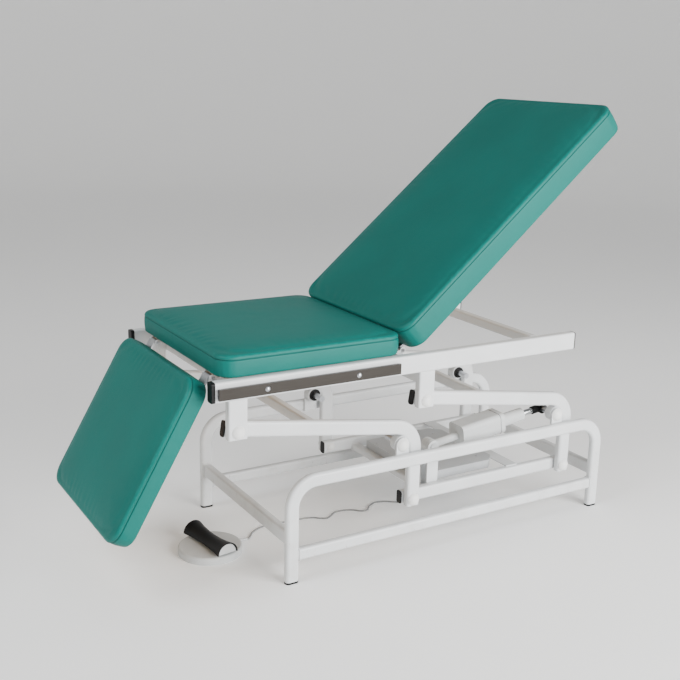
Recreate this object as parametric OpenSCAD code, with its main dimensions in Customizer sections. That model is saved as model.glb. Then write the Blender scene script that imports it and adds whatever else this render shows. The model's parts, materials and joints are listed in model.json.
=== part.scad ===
// Height adjustable treatment couch in three sections, in the pose of its lowest height.
// X runs from the foot end to the head end, Y across the couch, and Z up from the floor.
// The origin is on the floor, in the middle of the base frame.

/* [Base frame] */
// Length of the base over the legs of its hoops
base_length = 1180; // [1120:10:1300]
// Width of the base over its two hoops
base_width = 625; // [600:5:680]
// Height of the top of the hoops above the floor
hoop_height = 318; // [300:2:330]
// Face width of the hoop tube, seen from the side
hoop_tube_w = 40; // [36:1:44]
// Depth of the hoop tube, across the couch
hoop_tube_d = 25; // [24:1:30]
// Corner radius of the hoop tube
hoop_corner_r = 10; // [6:0.5:11]
// Outer radius of the bends at the top of each hoop
hoop_bend_r = 95; // [80:5:120]
// Height of the lower rails' underside above the floor
lower_rail_z = 67; // [50:1:75]
// Height of the lower rail tube
lower_rail_h = 35; // [30:1:40]
// Height of the cross tubes' underside above the floor
cross_tube_z = 110; // [104:1:120]
// Height of the tubes that cross the base at its ends
cross_tube_h = 41; // [30:1:44]
// Thickness of the tubes that cross the base at its ends
cross_tube_t = 25; // [20:1:28]
// Thickness of the black caps that the hoops stand on
foot_cap_t = 6; // [4:1:12]
// Wall of the steel tubes
tube_wall = 2; // [1.5:0.25:3]

/* [Lift linkage] */
// Place of the front crank's pivot, from the middle towards the foot end, as a share of the base's length
front_pivot_share = 0.167; // [0.155:0.001:0.175]
// Distance between the pivots of the two cranks, as a share of the base's length
crank_pitch_share = 0.5085; // [0.49:0.0005:0.52]
// Height of the crank pivots above the top of the hoops
pivot_rise = 25; // [24:1:30]
// Level reach of a crank's long arm, from its pivot to the upper frame's pin
arm_reach = 535; // [515:1:545]
// Rise of that pin above the crank's pivot
arm_rise = 132; // [126:1:140]
// Height of the long arm's line above the crank's pivot
arm_over_pivot = 50; // [46:1:53]
// Level offset of the short arm's centre line from the crank's pivot
short_arm_offset = 52; // [48:1:60]
// Drop of the tie bar's pin below the crank's pivot
short_arm_drop = 187; // [180:1:195]
// Height of the crank tube, seen from the side
crank_tube_h = 45; // [40:1:48]
// Thickness of the crank tube, across the couch
crank_tube_d = 25; // [22:1:30]
// Radius of the elbow at the crank tube's centre line
elbow_r = 77.5; // [70:0.5:85]
// Length of the crank tube past the pins at its ends
crank_overrun = 29; // [26:1:32]
// Thickness of the lug plates that carry the cranks
lug_t = 8; // [6:1:10]
// Width of the lug plates
lug_w = 44; // [42:1:52]
// Radius of the pivot pins
pin_r = 10; // [8:0.5:11]
// Radial clearance of pins in their holes
pin_clearance = 0.08; // [0.05:0.01:0.1]
// Clearance between a crank and the plate beside it
side_clearance = 1.5; // [1:0.25:3]
// Clearance between a crank and the tie bar beside it
tie_clearance = 2; // [1.5:0.25:3]
// Height of the tie bars and their tube section
tie_bar_h = 40; // [36:1:44]
// Thickness of the tie bars, across the couch
tie_bar_d = 25; // [22:1:28]
// Length of the tie bars past their pins
tie_overrun = 28; // [24:1:32]
// Side of the square tubes that join the two arms of a crank
crank_cross_size = 30; // [26:1:34]

/* [Tray and control unit] */
// Level distance of the tray's left edge from the front tie pins
tray_offset = 109; // [95:1:115]
// Length of the tray
tray_length = 291; // [280:1:300]
// Width of the tray across the couch
tray_width = 344; // [320:2:360]
// Depth of the tray's folded edges
tray_depth = 28; // [20:1:30]
// Thickness of the tray's sheet
tray_sheet = 2; // [1.5:0.5:3]
// Cut of the tray's two corners nearest the head end
tray_chamfer = 32; // [20:1:45]
// Length of the control unit under the tray
control_length = 190; // [160:5:200]
// Width of the control unit
control_width = 150; // [120:5:180]
// Height of the control unit
control_height = 62; // [50:1:64]

/* [Actuator] */
// Distance of the actuator's line inwards from the crank beside it
actuator_inset = 50; // [47:1:55]
// Level distance of the actuator's rear pin from the front tie pins
rear_pin_offset = 105; // [98:1:118]
// Drop of the actuator's rear pin below the rear crank's pivot
actuator_drop = 55; // [45:1:65]
// Radius of the chrome rod
rod_r = 10; // [8:0.5:11]
// Radius of the outer tube
actuator_tube_r = 21; // [19:0.5:23]
// Length of the motor housing as a share of the distance between the actuator's pins
housing_length_share = 0.37; // [0.34:0.01:0.4]
// Height of the motor housing
housing_height = 67; // [60:1:72]
// Width of the motor housing
housing_width = 78; // [70:1:84]

/* [Upper frame] */
// Length of the side rails
rail_length = 1224; // [1200:2:1260]
// Length of the side rails past the pins at their foot end
rail_foot_reach = 69; // [66:1:74]
// Height of the side rails' underside above the pins
bracket_drop = 93; // [88:1:105]
// Height of the side rail tube
rail_h = 55; // [50:1:60]
// Thickness of the side rail tube
rail_d = 30; // [28:1:34]
// Width of the brackets that hang from the side rails
bracket_w = 55; // [50:1:60]
// Thickness of the brackets that hang from the side rails
bracket_d = 25; // [22:1:28]
// Distance that the side rails stand out past their brackets
rail_overhang = 12; // [8:1:14]
// Length of the accessory rail
accessory_length = 554; // [540:2:570]
// Height of the accessory rail
accessory_h = 30; // [25:1:32]
// Thickness of the accessory rail
accessory_t = 8; // [8:1:10]
// Gap between the accessory rail and the side rail
accessory_gap = 5; // [4:1:8]

/* [Upholstery] */
// Distance of the seat's and the backrest's sides inside the side rails' outer faces
couch_inset = 17; // [8:1:22]
// Length of the seat section
seat_length = 563; // [550:1:566]
// Thickness of the seat section
seat_t = 66; // [60:1:72]
// Length of the backrest
backrest_length = 983; // [900:5:1020]
// Thickness of the backrest
backrest_t = 88; // [80:1:92]
// Angle of the backrest above level, in degrees
backrest_angle = 40.5; // [0:0.5:46]
// Length of the leg section
legrest_length = 474; // [440:2:480]
// Distance of the leg section's sides inside the seat's sides
legrest_inset = 35; // [20:1:50]
// Thickness of the leg section
legrest_t = 64; // [60:1:68]
// Angle of the leg section below level, in degrees
legrest_angle = 60.6; // [0:0.2:80]
// Corner radius of the upholstered sections, seen from above
cushion_corner_r = 48; // [40:1:60]
// Thickness of the plywood boards under the upholstery
board_t = 12; // [9:1:15]

/* [Foot switch] */
// Radius of the foot switch's round housing
foot_switch_r = 95; // [90:1:100]
// Height of the round housing
foot_switch_h = 22; // [18:1:26]
// Length of the rocker pedal
pedal_length = 195; // [180:1:200]
// Radius of the pedal's arch at its ends
pedal_end_r = 34; // [32:0.5:36]
// Radius of the pedal's arch at its waist
pedal_waist_r = 25; // [23:0.5:27]
// Wall of the pedal
pedal_wall = 4; // [3:0.5:5]

/* [Hidden] */
$fn = 48;

// Colours, as seen
frame_white = [0.83, 0.84, 0.84];
cap_black = [0.05, 0.05, 0.055];
dome_white = [0.93, 0.93, 0.93];
upholstery_green = [0.17, 0.48, 0.45];
plywood = [0.55, 0.42, 0.28];
zinc = [0.62, 0.63, 0.65];
rail_steel = [0.4, 0.38, 0.36];
plastic_grey = [0.78, 0.79, 0.79];
cable_grey = [0.5, 0.5, 0.5];

// One overrun serves all cuts, and one small clearance all pieces that are let into others
cut = 1;
fit_gap = 0.2;

// Places across the couch, from the middle outwards, of everything in the linkage
hoop_in_y = base_width / 2 - hoop_tube_d;
hoop_mid_y = base_width / 2 - hoop_tube_d / 2;
lug_in_y = hoop_in_y - lug_t;
crank_out_y = lug_in_y - side_clearance;
crank_in_y = crank_out_y - crank_tube_d;
crank_mid_y = crank_out_y - crank_tube_d / 2;
tie_out_y = crank_in_y - tie_clearance;
tie_in_y = tie_out_y - tie_bar_d;
tie_mid_y = tie_out_y - tie_bar_d / 2;
bracket_clearance = 2;
bracket_in_y = crank_out_y + bracket_clearance;
bracket_out_y = bracket_in_y + bracket_d;
bracket_mid_y = bracket_in_y + bracket_d / 2;
rail_out_y = bracket_out_y + rail_overhang;
rail_in_y = rail_out_y - rail_d;
rail_mid_y = rail_out_y - rail_d / 2;

// Pivots of the linkage as [x, z]
pivot_z = hoop_height + pivot_rise;
crank_pitch = base_length * crank_pitch_share;
front_pivot = [-base_length * front_pivot_share, pivot_z];
rear_pivot = front_pivot + [crank_pitch, 0];
top_pin = [-arm_reach, arm_rise];
tie_pin = [short_arm_offset, -short_arm_drop];
front_top = front_pivot + top_pin;
rear_top = rear_pivot + top_pin;
front_tie = front_pivot + tie_pin;
rear_tie = rear_pivot + tie_pin;

// Crank, in its own plane with the origin at its pivot
crank_corner_r = 9;
boss_r = 24;
pin_boss_r = 17;
arm_slope = atan((arm_rise - arm_over_pivot) / arm_reach);
elbow_x = short_arm_offset - elbow_r;
elbow_z = arm_rise - tan(arm_slope) * (elbow_x + arm_reach) - elbow_r / cos(arm_slope);
arm_end_x = elbow_x + elbow_r * sin(arm_slope);
arm_end_z = elbow_z + elbow_r * cos(arm_slope);
arm_straight = norm([arm_end_x + arm_reach, arm_end_z - arm_rise]);
short_end = 20;
end_cap_t = 3;
end_plug_l = 12;
crank_cross_share = 0.48;

// Pins, washers and domes
dome_h = 11;
dome_gap = 0.5;
lug_dome_r = 21;
top_dome_r = 19;
tie_dome_r = 20;
inner_dome_r = 15;
inner_dome_h = 8;
pin_in_dome = 4;
base_pin_reach = 52;
washer_r = 20;
washer_t = 4;
washer_gap = 0.5;
retainer_r = 15;
retainer_t = 4;

// Base
foot_plug_l = 10;
foot_plug_gap = 0.3;
cross_corner_r = 6;
lower_corner_r = 8;
lug_below = 38;
weld_gap = 0.2;

// Tie frame
tie_corner_r = 7;
tie_z = pivot_z - short_arm_drop - tie_bar_h / 2;
tie_top_z = tie_z + tie_bar_h;
tie_cross_offset = 84;
tie_cross_x = front_tie[0] + tie_cross_offset;
tie_cross_w = 30;
tie_cross_h = 22;
tie_cross_drop = 5;
tie_cross_z = tie_z - tie_cross_drop;
strap_w = 45;
strap_t = 3;
strap_lap = 12;
tray_top_z = tie_top_z + strap_t + tray_sheet;
tray_start = front_tie[0] + tray_offset;
tray_end = tray_start + tray_length;
tray_screw_r = 5;
tray_screw_h = 2.5;
tray_screw_inset = 48;
control_offset = 51;
control_start = tray_start + control_offset;
control_middle_y = 10;
control_corner_r = 8;
control_lid_h = 14;
control_groove = 1.5;
control_top_z = tray_top_z - tray_sheet;
control_bottom_z = control_top_z - control_height;
inlet_w = 28;
inlet_h = 32;
inlet_t = 6;
inlet_wall = 3;
inlet_depth = 4;
inlet_pin_r = 2;
gland_r = 8;
gland_l = 12;
gland_inset = 15;
gland_x = control_start + gland_inset;
gland_y = 0;
gland_bore_r = 3;

// Actuator, along its own line from the rear crank's pivot
actuator_y = crank_in_y - actuator_inset;
actuator_span = crank_pitch - short_arm_offset - rear_pin_offset;
actuator_length = norm([actuator_span, actuator_drop]);
actuator_angle = atan2(actuator_drop, actuator_span);
clevis_eye_r = 17;
clevis_w = 28;
clevis_neck_r = 13;
clevis_l = 38;
clevis_pin_reach = 18;
tube_start_share = 0.184;
rod_end_share = 0.74;
housing_start_share = 0.399;
tube_start = actuator_length * tube_start_share;
rod_end = actuator_length * rod_end_share;
housing_start = actuator_length * housing_start_share;
housing_length = actuator_length * housing_length_share;
rod_bore_gap = 0.4;
housing_corner_r = 15;
housing_lift = 6;
rear_neck_r = 12;
rear_eye_r = 21;
rear_eye_w = 26;
rear_pin_r = 7;
open_pivot_clearance = 7;
ear_gap = 28;
ear_t = 6;
ear_w = 40;
ear_top_r = 20;
rear_pin_head_r = 10;
rear_pin_head_t = 3;

// Upper frame, from the foot end of its side rails
rail_start = front_top[0] - rail_foot_reach;
rail_end = rail_start + rail_length;
rail_z = front_top[1] + bracket_drop;
rail_top_z = rail_z + rail_h;
rail_corner_r = 6;
rail_cap_foot_t = 10;
rail_cap_head_t = 4;
rail_plug_l = 14;
bracket_corner_r = 5;
bracket_below = 20;
brace_w = 25;
brace_h = 38;
brace_drop = 48;
brace_z = rail_z - brace_drop;
head_bar_inset = 161;
head_bar_x = rail_end - head_bar_inset;
head_bar_size = 30;
frame_cross_size = 30;
front_cross_along = 56;
front_cross_x = rail_start + front_cross_along;
middle_cross_along = 566;
middle_cross_x = rail_start + middle_cross_along;
cross_below = 10;
accessory_along = 5;
accessory_start = rail_start + accessory_along;
accessory_rise = 9.5;
accessory_z = rail_z + accessory_rise;
accessory_screw_along = [142, 421];
accessory_screw_x = [for (a = accessory_screw_along) rail_start + a];
screw_r = 4;
screw_head_r = 7.5;
screw_head_t = 3.5;
spacer_r = 10;
screw_inner_l = 8;

// Upholstered sections
couch_width = 2 * (rail_out_y - couch_inset);
legrest_width = couch_width - 2 * legrest_inset;
seat_along = 23;
seat_start = rail_start + seat_along;
seat_gap = 1;
board_inset = 9;
board_gap = 0.3;
board_corner_over = 2;
board_corner_r = cushion_corner_r - board_inset + board_corner_over;
backrest_hinge_along = 631;
backrest_hinge_drop = 9;
backrest_hinge = [rail_start + backrest_hinge_along, rail_top_z - backrest_hinge_drop];
backrest_under = 10.5;
backrest_inset_x = 10;
legrest_hinge_along = 33;
legrest_hinge_drop = 15;
legrest_hinge = [rail_start + legrest_hinge_along, rail_top_z - legrest_hinge_drop];
legrest_under = 12;
legrest_inset_x = 22;
crown_h = 6;
seam_drop = 13;
seam_depth = 2.5;
seam_half = 2.5;
edge_r = 8;
hem_inset = 3;
hem_h = 4;
hinge_y = 200;
hinge_leaf_w = 40;
hinge_leaf_l = 70;
hinge_leaf_t = 5;
knuckle_r = 8;
hinge_pin_r = 5;
hinge_ear_t = 6;
hinge_ear_r = 9;
hinge_side_gap = 0.5;
hinge_pin_over = 3;
hinge_ear_h = 26;

// Foot switch
foot_switch_x = -690;
foot_switch_y = -10;
foot_switch_round = 6;
pedal_turn = -82;
pedal_lift = 8;
pedal_pivot_rise = 16;
pedal_block_l = 30;
pedal_block_w = 24;
pedal_pin_r = 4;
pedal_pin_l = 32;
core_gap = 0.3;
core_recess = 3;
core_slot_gap = 2;
switch_gland_r = 5.5;
switch_gland_l = 13;
switch_gland_z = 9;

// Route of the pedal's cable: along the floor at shares of its run, with y and z, then beside the gland
cable_r = 2.5;
cable_sides = 8;
cable_steps = 3;
cable_shares = [
    [0, -2.5, 9], [0.0227, -2, 8], [0.0453, 4, 4.5], [0.068, 18, 3], [0.1019, 42, 3],
    [0.1634, 62, 3], [0.2395, 63, 3], [0.3123, 60, 3], [0.3738, 57, 3], [0.4175, 55, 3],
    [0.4531, 46, 3], [0.4822, 30, 3], [0.5113, 22, 3], [0.5469, 34, 3], [0.5858, 50, 3],
    [0.6311, 50, 3], [0.6764, 40, 3], [0.7152, 18, 3], [0.7508, 16, 3], [0.7896, 40, 3],
    [0.8382, 54, 3], [0.89, 47, 3], [0.9385, 26, 3],
];
cable_exit_x = foot_switch_x + foot_switch_r - foot_switch_round + switch_gland_l;
cable_run = gland_x - cable_exit_x;
cable_end_z = control_bottom_z - gland_l + cut;
cable_rise = [[-16, 8, 6], [-3, 1, 26]];
cable_plumb = 46;
cable_points = concat(
    [for (s = cable_shares) [cable_exit_x + cable_run * s[0], s[1], s[2]]],
    [for (r = cable_rise) [gland_x + r[0], gland_y + r[1], r[2]]],
    [[gland_x, gland_y, cable_end_z - cable_plumb], [gland_x, gland_y, cable_end_z]]
);

// Repeats what it holds on both sides of the couch
module both_sides() {
    children();
    mirror([0, 1, 0]) children();
}

// A flat outline with round corners, centred on its middle
module round_rect(w, h, r) {
    square([w - 2 * r, h], center = true);
    square([w, h - 2 * r], center = true);
    for (sx = [-1, 1], sy = [-1, 1])
        translate([sx * (w / 2 - r), sy * (h / 2 - r)]) circle(r);
}

// The same outline with a wall; a wall of zero gives the full outline
module tube_section(w, h, r, wall = 0) {
    difference() {
        round_rect(w, h, r);
        if (wall > 0)
            round_rect(w - 2 * wall, h - 2 * wall, r - wall);
    }
}

// A straight tube along X from x0, with height h along Z and depth d along Y
module tube_x(x0, l, h, d, r, wall = 0) {
    translate([x0, 0, 0])
        rotate([0, 90, 0])
            linear_extrude(l) tube_section(h, d, r, wall);
}

// A straight tube along Y, centred, with width w along X and height h along Z
module tube_y(l, w, h, r, wall = 0) {
    translate([0, l / 2, 0])
        rotate([90, 0, 0])
            linear_extrude(l) tube_section(w, h, r, wall);
}

// A round bar along Y between two places
module bar_y(r, y0, y1) {
    translate([0, y0, 0]) rotate([-90, 0, 0]) cylinder(h = y1 - y0, r = r);
}

// Places what it holds at a pivot given as [x, z]
module at_pivot(p) {
    translate([p[0], 0, p[1]]) children();
}

// A shallow dome on a flat base that faces up
module dome(r, h, hole_r, hole_h) {
    ball_r = (r * r + h * h) / (2 * h);
    difference() {
        intersection() {
            cylinder(h = h, r = r);
            translate([0, 0, h - ball_r]) sphere(ball_r, $fn = 96);
        }
        translate([0, 0, -cut]) cylinder(h = hole_h + cut, r = hole_r);
    }
}

// A dome on the near side that faces outwards from y
module dome_near(r, h, y, hole_h) {
    translate([0, -y, 0]) rotate([90, 0, 0]) dome(r, h, pin_r + pin_clearance, hole_h);
}

// Skin of a stack of rings, each with n points, closed by a fan at both ends
function skin_faces(rings, n) = concat(
    [for (j = [0:n - 1]) [rings * n, j, (j + 1) % n]],
    [for (i = [0:rings - 2], j = [0:n - 1]) [i * n + j, (i + 1) * n + j, (i + 1) * n + (j + 1) % n]],
    [for (i = [0:rings - 2], j = [0:n - 1]) [i * n + j, (i + 1) * n + (j + 1) % n, i * n + (j + 1) % n]],
    [for (j = [0:n - 1]) [rings * n + 1, (rings - 1) * n + (j + 1) % n, (rings - 1) * n + j]]
);

// Base frame

// Path of a hoop at the given wall, from foot to foot
module hoop_tube(wall) {
    leg_h = hoop_height - hoop_bend_r - foot_cap_t;
    for (side = [-1, 1]) {
        translate([side * (base_length / 2 - hoop_tube_w / 2), 0, foot_cap_t])
            linear_extrude(leg_h) tube_section(hoop_tube_w, hoop_tube_d, hoop_corner_r, wall);
        translate([side * (base_length / 2 - hoop_bend_r), 0, hoop_height - hoop_bend_r])
            mirror([side < 0 ? 1 : 0, 0, 0])
                rotate([90, 0, 0])
                    rotate_extrude(angle = 90)
                        translate([hoop_bend_r - hoop_tube_w / 2, 0])
                            tube_section(hoop_tube_w, hoop_tube_d, hoop_corner_r, wall);
    }
    translate([0, 0, hoop_height - hoop_tube_w / 2])
        tube_x(-base_length / 2 + hoop_bend_r, base_length - 2 * hoop_bend_r,
            hoop_tube_w, hoop_tube_d, hoop_corner_r, wall);
}

module base_hoop_near() {
    color(frame_white) translate([0, -hoop_mid_y, 0]) hoop_tube(tube_wall);
}

module base_hoop_far() {
    color(frame_white) translate([0, hoop_mid_y, 0]) hoop_tube(tube_wall);
}

// The lower rails are coped to the round corners of the legs that they are welded to
module base_lower_rails() {
    leg_in_x = base_length / 2 - hoop_tube_w;
    cope = hoop_corner_r;
    color(frame_white)
        both_sides()
            translate([0, -hoop_mid_y, 0])
                difference() {
                    translate([0, 0, lower_rail_z + lower_rail_h / 2])
                        tube_x(-leg_in_x - cope, 2 * (leg_in_x + cope), lower_rail_h, hoop_tube_d,
                            lower_corner_r, tube_wall);
                    for (side = [-1, 1])
                        translate([side * (base_length / 2 - hoop_tube_w / 2), 0, lower_rail_z - cut])
                            linear_extrude(lower_rail_h + 2 * cut)
                                round_rect(hoop_tube_w + 2 * weld_gap, hoop_tube_d + 2 * weld_gap,
                                    hoop_corner_r + weld_gap);
                }
}

module base_cross_tubes() {
    color(frame_white)
        for (side = [-1, 1])
            translate([side * (base_length / 2 - hoop_tube_w / 2), 0, cross_tube_z + cross_tube_h / 2])
                tube_y(2 * hoop_in_y, cross_tube_t, cross_tube_h, cross_corner_r, tube_wall);
}

module foot_caps() {
    plug_w = hoop_tube_w - 2 * (tube_wall + foot_plug_gap);
    plug_d = hoop_tube_d - 2 * (tube_wall + foot_plug_gap);
    color(cap_black)
        both_sides()
            for (side = [-1, 1])
                translate([side * (base_length / 2 - hoop_tube_w / 2), -hoop_mid_y, 0]) {
                    linear_extrude(foot_cap_t) round_rect(hoop_tube_w, hoop_tube_d, hoop_corner_r);
                    translate([0, 0, foot_cap_t])
                        linear_extrude(foot_plug_l)
                            round_rect(plug_w, plug_d, hoop_corner_r - tube_wall - foot_plug_gap);
                }
}

// Plates on the inner faces of the hoops' top rails, one for each crank arm
module pivot_lugs() {
    color(frame_white)
        both_sides()
            for (p = [front_pivot, rear_pivot])
                at_pivot(p)
                    difference() {
                        union() {
                            bar_y(lug_w / 2, -hoop_in_y, -lug_in_y);
                            translate([-lug_w / 2, -hoop_in_y, -pivot_rise - lug_below])
                                cube([lug_w, lug_t, pivot_rise + lug_below]);
                        }
                        bar_y(pin_r + pin_clearance, -hoop_in_y - cut, -lug_in_y + cut);
                    }
}

// The pin of the near rear crank is longer, because the actuator's rod hangs on it
module base_pivot_pins() {
    color(zinc)
        both_sides()
            for (p = [front_pivot, rear_pivot])
                at_pivot(p) bar_y(pin_r, -hoop_in_y - pin_in_dome, -crank_in_y + base_pin_reach);
    color(zinc)
        at_pivot(rear_pivot)
            bar_y(pin_r, -crank_in_y + base_pin_reach, -actuator_y + clevis_pin_reach);
}

module base_pivot_domes() {
    color(dome_white)
        both_sides()
            for (p = [front_pivot, rear_pivot])
                at_pivot(p) dome_near(lug_dome_r, dome_h, hoop_in_y, pin_in_dome + pin_clearance);
}

module base_pivot_washers() {
    color(cap_black)
        both_sides()
            for (p = [front_pivot, rear_pivot])
                at_pivot(p)
                    difference() {
                        bar_y(washer_r, -crank_in_y + washer_gap, -crank_in_y + washer_gap + washer_t);
                        bar_y(pin_r + pin_clearance, -crank_in_y, -tie_in_y);
                    }
}

// Cranks

// Path of a crank tube in its own plane; the short arm's foot keeps its wall
module crank_path(h, d, r, foot) {
    translate([arm_end_x, 0, arm_end_z])
        rotate([0, arm_slope, 0])
            tube_x(-arm_straight - crank_overrun + end_cap_t, arm_straight + crank_overrun - end_cap_t, h, d, r);
    translate([elbow_x, 0, elbow_z])
        rotate([90, 0, 0])
            rotate_extrude(angle = 90 - arm_slope, $fn = 96)
                translate([elbow_r, 0]) round_rect(h, d, r);
    translate([short_arm_offset, 0, -short_arm_drop - foot])
        linear_extrude(elbow_z + short_arm_drop + foot) round_rect(h, d, r);
}

// Hollow of the long arm, open at the end that its cap closes
module crank_mouth() {
    translate([arm_end_x, 0, arm_end_z])
        rotate([0, arm_slope, 0])
            tube_x(-arm_straight - crank_overrun, end_plug_l + end_cap_t, crank_tube_h - 2 * tube_wall,
                crank_tube_d - 2 * tube_wall, crank_corner_r - tube_wall);
}

// One arm of a crank, with its three bosses and their bores
module crank_arm() {
    difference() {
        union() {
            difference() {
                crank_path(crank_tube_h, crank_tube_d, crank_corner_r, short_end);
                crank_path(crank_tube_h - 2 * tube_wall, crank_tube_d - 2 * tube_wall,
                    crank_corner_r - tube_wall, short_end - tube_wall);
                crank_mouth();
            }
            bar_y(boss_r, -crank_tube_d / 2, crank_tube_d / 2);
            for (p = [top_pin, tie_pin])
                at_pivot(p) bar_y(pin_boss_r, -crank_tube_d / 2, crank_tube_d / 2);
        }
        bar_y(pin_r + pin_clearance, -crank_tube_d, crank_tube_d);
        for (p = [top_pin, tie_pin])
            at_pivot(p) bar_y(pin_r + pin_clearance, -crank_tube_d, crank_tube_d);
    }
}

// The square tube that joins the two arms of a crank
module crank_cross() {
    reach = arm_straight * crank_cross_share;
    translate([-arm_reach, 0, arm_rise])
        rotate([0, arm_slope, 0])
            translate([reach, 0, 0])
                tube_y(2 * crank_in_y, crank_cross_size, crank_cross_size, cross_corner_r, tube_wall);
}

module crank_caps() {
    both_sides()
        translate([-arm_reach, -crank_mid_y, arm_rise])
            rotate([0, arm_slope, 0]) {
                tube_x(-crank_overrun, end_cap_t, crank_tube_h, crank_tube_d, crank_corner_r);
                tube_x(-crank_overrun + end_cap_t, end_plug_l - end_cap_t, crank_tube_h - 2 * (tube_wall + fit_gap),
                    crank_tube_d - 2 * (tube_wall + fit_gap), crank_corner_r - tube_wall - fit_gap);
            }
}

module front_crank_near() {
    color(frame_white) at_pivot(front_pivot) translate([0, -crank_mid_y, 0]) crank_arm();
}

module front_crank_far() {
    color(frame_white) at_pivot(front_pivot) translate([0, crank_mid_y, 0]) crank_arm();
}

module front_crank_tube() {
    color(frame_white) at_pivot(front_pivot) crank_cross();
}

module front_crank_caps() {
    color(cap_black) at_pivot(front_pivot) crank_caps();
}

module rear_crank_near() {
    color(frame_white) at_pivot(rear_pivot) translate([0, -crank_mid_y, 0]) crank_arm();
}

module rear_crank_far() {
    color(frame_white) at_pivot(rear_pivot) translate([0, crank_mid_y, 0]) crank_arm();
}

module rear_crank_tube() {
    color(frame_white) at_pivot(rear_pivot) crank_cross();
}

module rear_crank_caps() {
    color(cap_black) at_pivot(rear_pivot) crank_caps();
}

// Tie frame

tie_bar_start = front_tie[0] - tie_overrun;
tie_bar_length = crank_pitch + 2 * tie_overrun;

module tie_bar() {
    difference() {
        union() {
            translate([0, 0, tie_z + tie_bar_h / 2])
                tube_x(tie_bar_start + end_cap_t, tie_bar_length - 2 * end_cap_t, tie_bar_h, tie_bar_d,
                    tie_corner_r, tube_wall);
            for (p = [front_tie, rear_tie])
                at_pivot(p) bar_y(pin_boss_r - tube_wall, -tie_bar_d / 2, tie_bar_d / 2);
        }
        for (p = [front_tie, rear_tie])
            at_pivot(p) bar_y(pin_r + pin_clearance, -tie_bar_d, tie_bar_d);
    }
}

module tie_bar_near() {
    color(frame_white) translate([0, -tie_mid_y, 0]) tie_bar();
}

module tie_bar_far() {
    color(frame_white) translate([0, tie_mid_y, 0]) tie_bar();
}

module tie_bar_caps() {
    plug_h = tie_bar_h - 2 * (tube_wall + fit_gap);
    plug_d = tie_bar_d - 2 * (tube_wall + fit_gap);
    color(cap_black)
        both_sides()
            for (side = [0, 1])
                translate([tie_bar_start + side * tie_bar_length, -tie_mid_y, tie_z + tie_bar_h / 2])
                    mirror([side, 0, 0]) {
                        tube_x(0, end_cap_t, tie_bar_h, tie_bar_d, tie_corner_r);
                        tube_x(end_cap_t, end_plug_l - end_cap_t, plug_h, plug_d,
                            tie_corner_r - tube_wall - fit_gap);
                    }
}

module tie_cross_tube() {
    color(frame_white)
        translate([tie_cross_x + tie_cross_w / 2, 0, tie_cross_z + tie_cross_h / 2])
            tube_y(2 * tie_in_y, tie_cross_w, tie_cross_h, cross_corner_r, tube_wall);
}

// Pins through the crank's short arm and the tie bar, fixed in the tie bar
module tie_pivot_pins() {
    color(zinc)
        both_sides()
            for (p = [front_tie, rear_tie])
                at_pivot(p)
                    bar_y(pin_r, -crank_out_y - dome_gap - pin_in_dome, -tie_in_y + pin_in_dome);
}

module tie_pivot_domes() {
    color(dome_white)
        both_sides()
            for (p = [front_tie, rear_tie])
                at_pivot(p) {
                    dome_near(tie_dome_r, dome_h, crank_out_y + dome_gap, pin_in_dome + pin_clearance);
                    translate([0, -tie_in_y, 0])
                        rotate([-90, 0, 0])
                            dome(inner_dome_r, inner_dome_h, pin_r + pin_clearance,
                                pin_in_dome + pin_clearance);
                }
}

// Outline of the tray from above, drawn in by an inset
module tray_outline(inset) {
    x0 = tray_start + inset;
    x1 = tray_end - inset;
    y = tray_width / 2 - inset;
    c = tray_chamfer;
    polygon([[x0, -y], [x1 - c, -y], [x1, c - y], [x1, y - c], [x1 - c, y], [x0, y]]);
}

// A folded cover, open below
module tray() {
    color(frame_white)
        difference() {
            translate([0, 0, tray_top_z - tray_depth]) linear_extrude(tray_depth) tray_outline(0);
            translate([0, 0, tray_top_z - tray_depth - cut])
                linear_extrude(tray_depth - tray_sheet + cut) tray_outline(tray_sheet);
            translate([tray_end - strap_lap, -tray_width, tray_top_z - tray_depth - cut])
                cube([strap_w, 2 * tray_width, tray_depth - tray_sheet + cut]);
        }
}

// Flat strap across the tie bars that carries the tray's end
module tray_strap() {
    color(frame_white)
        translate([tray_end - strap_lap, -tie_mid_y, tie_top_z]) cube([strap_w, 2 * tie_mid_y, strap_t]);
}

module tray_screws() {
    y = tray_width / 2 - tray_screw_inset;
    color(zinc)
        for (x = [tray_start + tray_screw_inset / 4, tray_end - tray_screw_inset], side = [-1, 1])
            translate([x, side * y, tray_top_z]) dome(tray_screw_r, tray_screw_h, 0, 0);
}

// Housing of the control unit, with a groove where its lid meets it
module control_box() {
    color(cap_black)
        translate([control_start + control_length / 2, control_middle_y, control_bottom_z])
            difference() {
                linear_extrude(control_height) round_rect(control_length, control_width, control_corner_r);
                translate([0, 0, control_height - control_lid_h])
                    linear_extrude(control_groove)
                        difference() {
                            round_rect(control_length + cut, control_width + cut, control_corner_r);
                            round_rect(control_length - 2 * control_groove, control_width - 2 * control_groove,
                                control_corner_r - control_groove);
                        }
            }
}

// Socket for a mains lead, on the control unit's end
module mains_inlet() {
    color(cap_black)
        translate([control_start + control_length, control_middle_y, control_bottom_z + control_height / 3]) {
            difference() {
                tube_x(0, inlet_t, inlet_w, inlet_h, inlet_wall);
                tube_x(inlet_t - inlet_depth, inlet_depth + cut, inlet_w - 2 * inlet_wall,
                    inlet_h - 2 * inlet_wall, inlet_wall / 2);
            }
            for (side = [-1, 0, 1])
                translate([0, side * inlet_w / 4, 0])
                    rotate([0, 90, 0]) cylinder(h = inlet_t - inlet_pin_r / 2, r = inlet_pin_r);
        }
}

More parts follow.
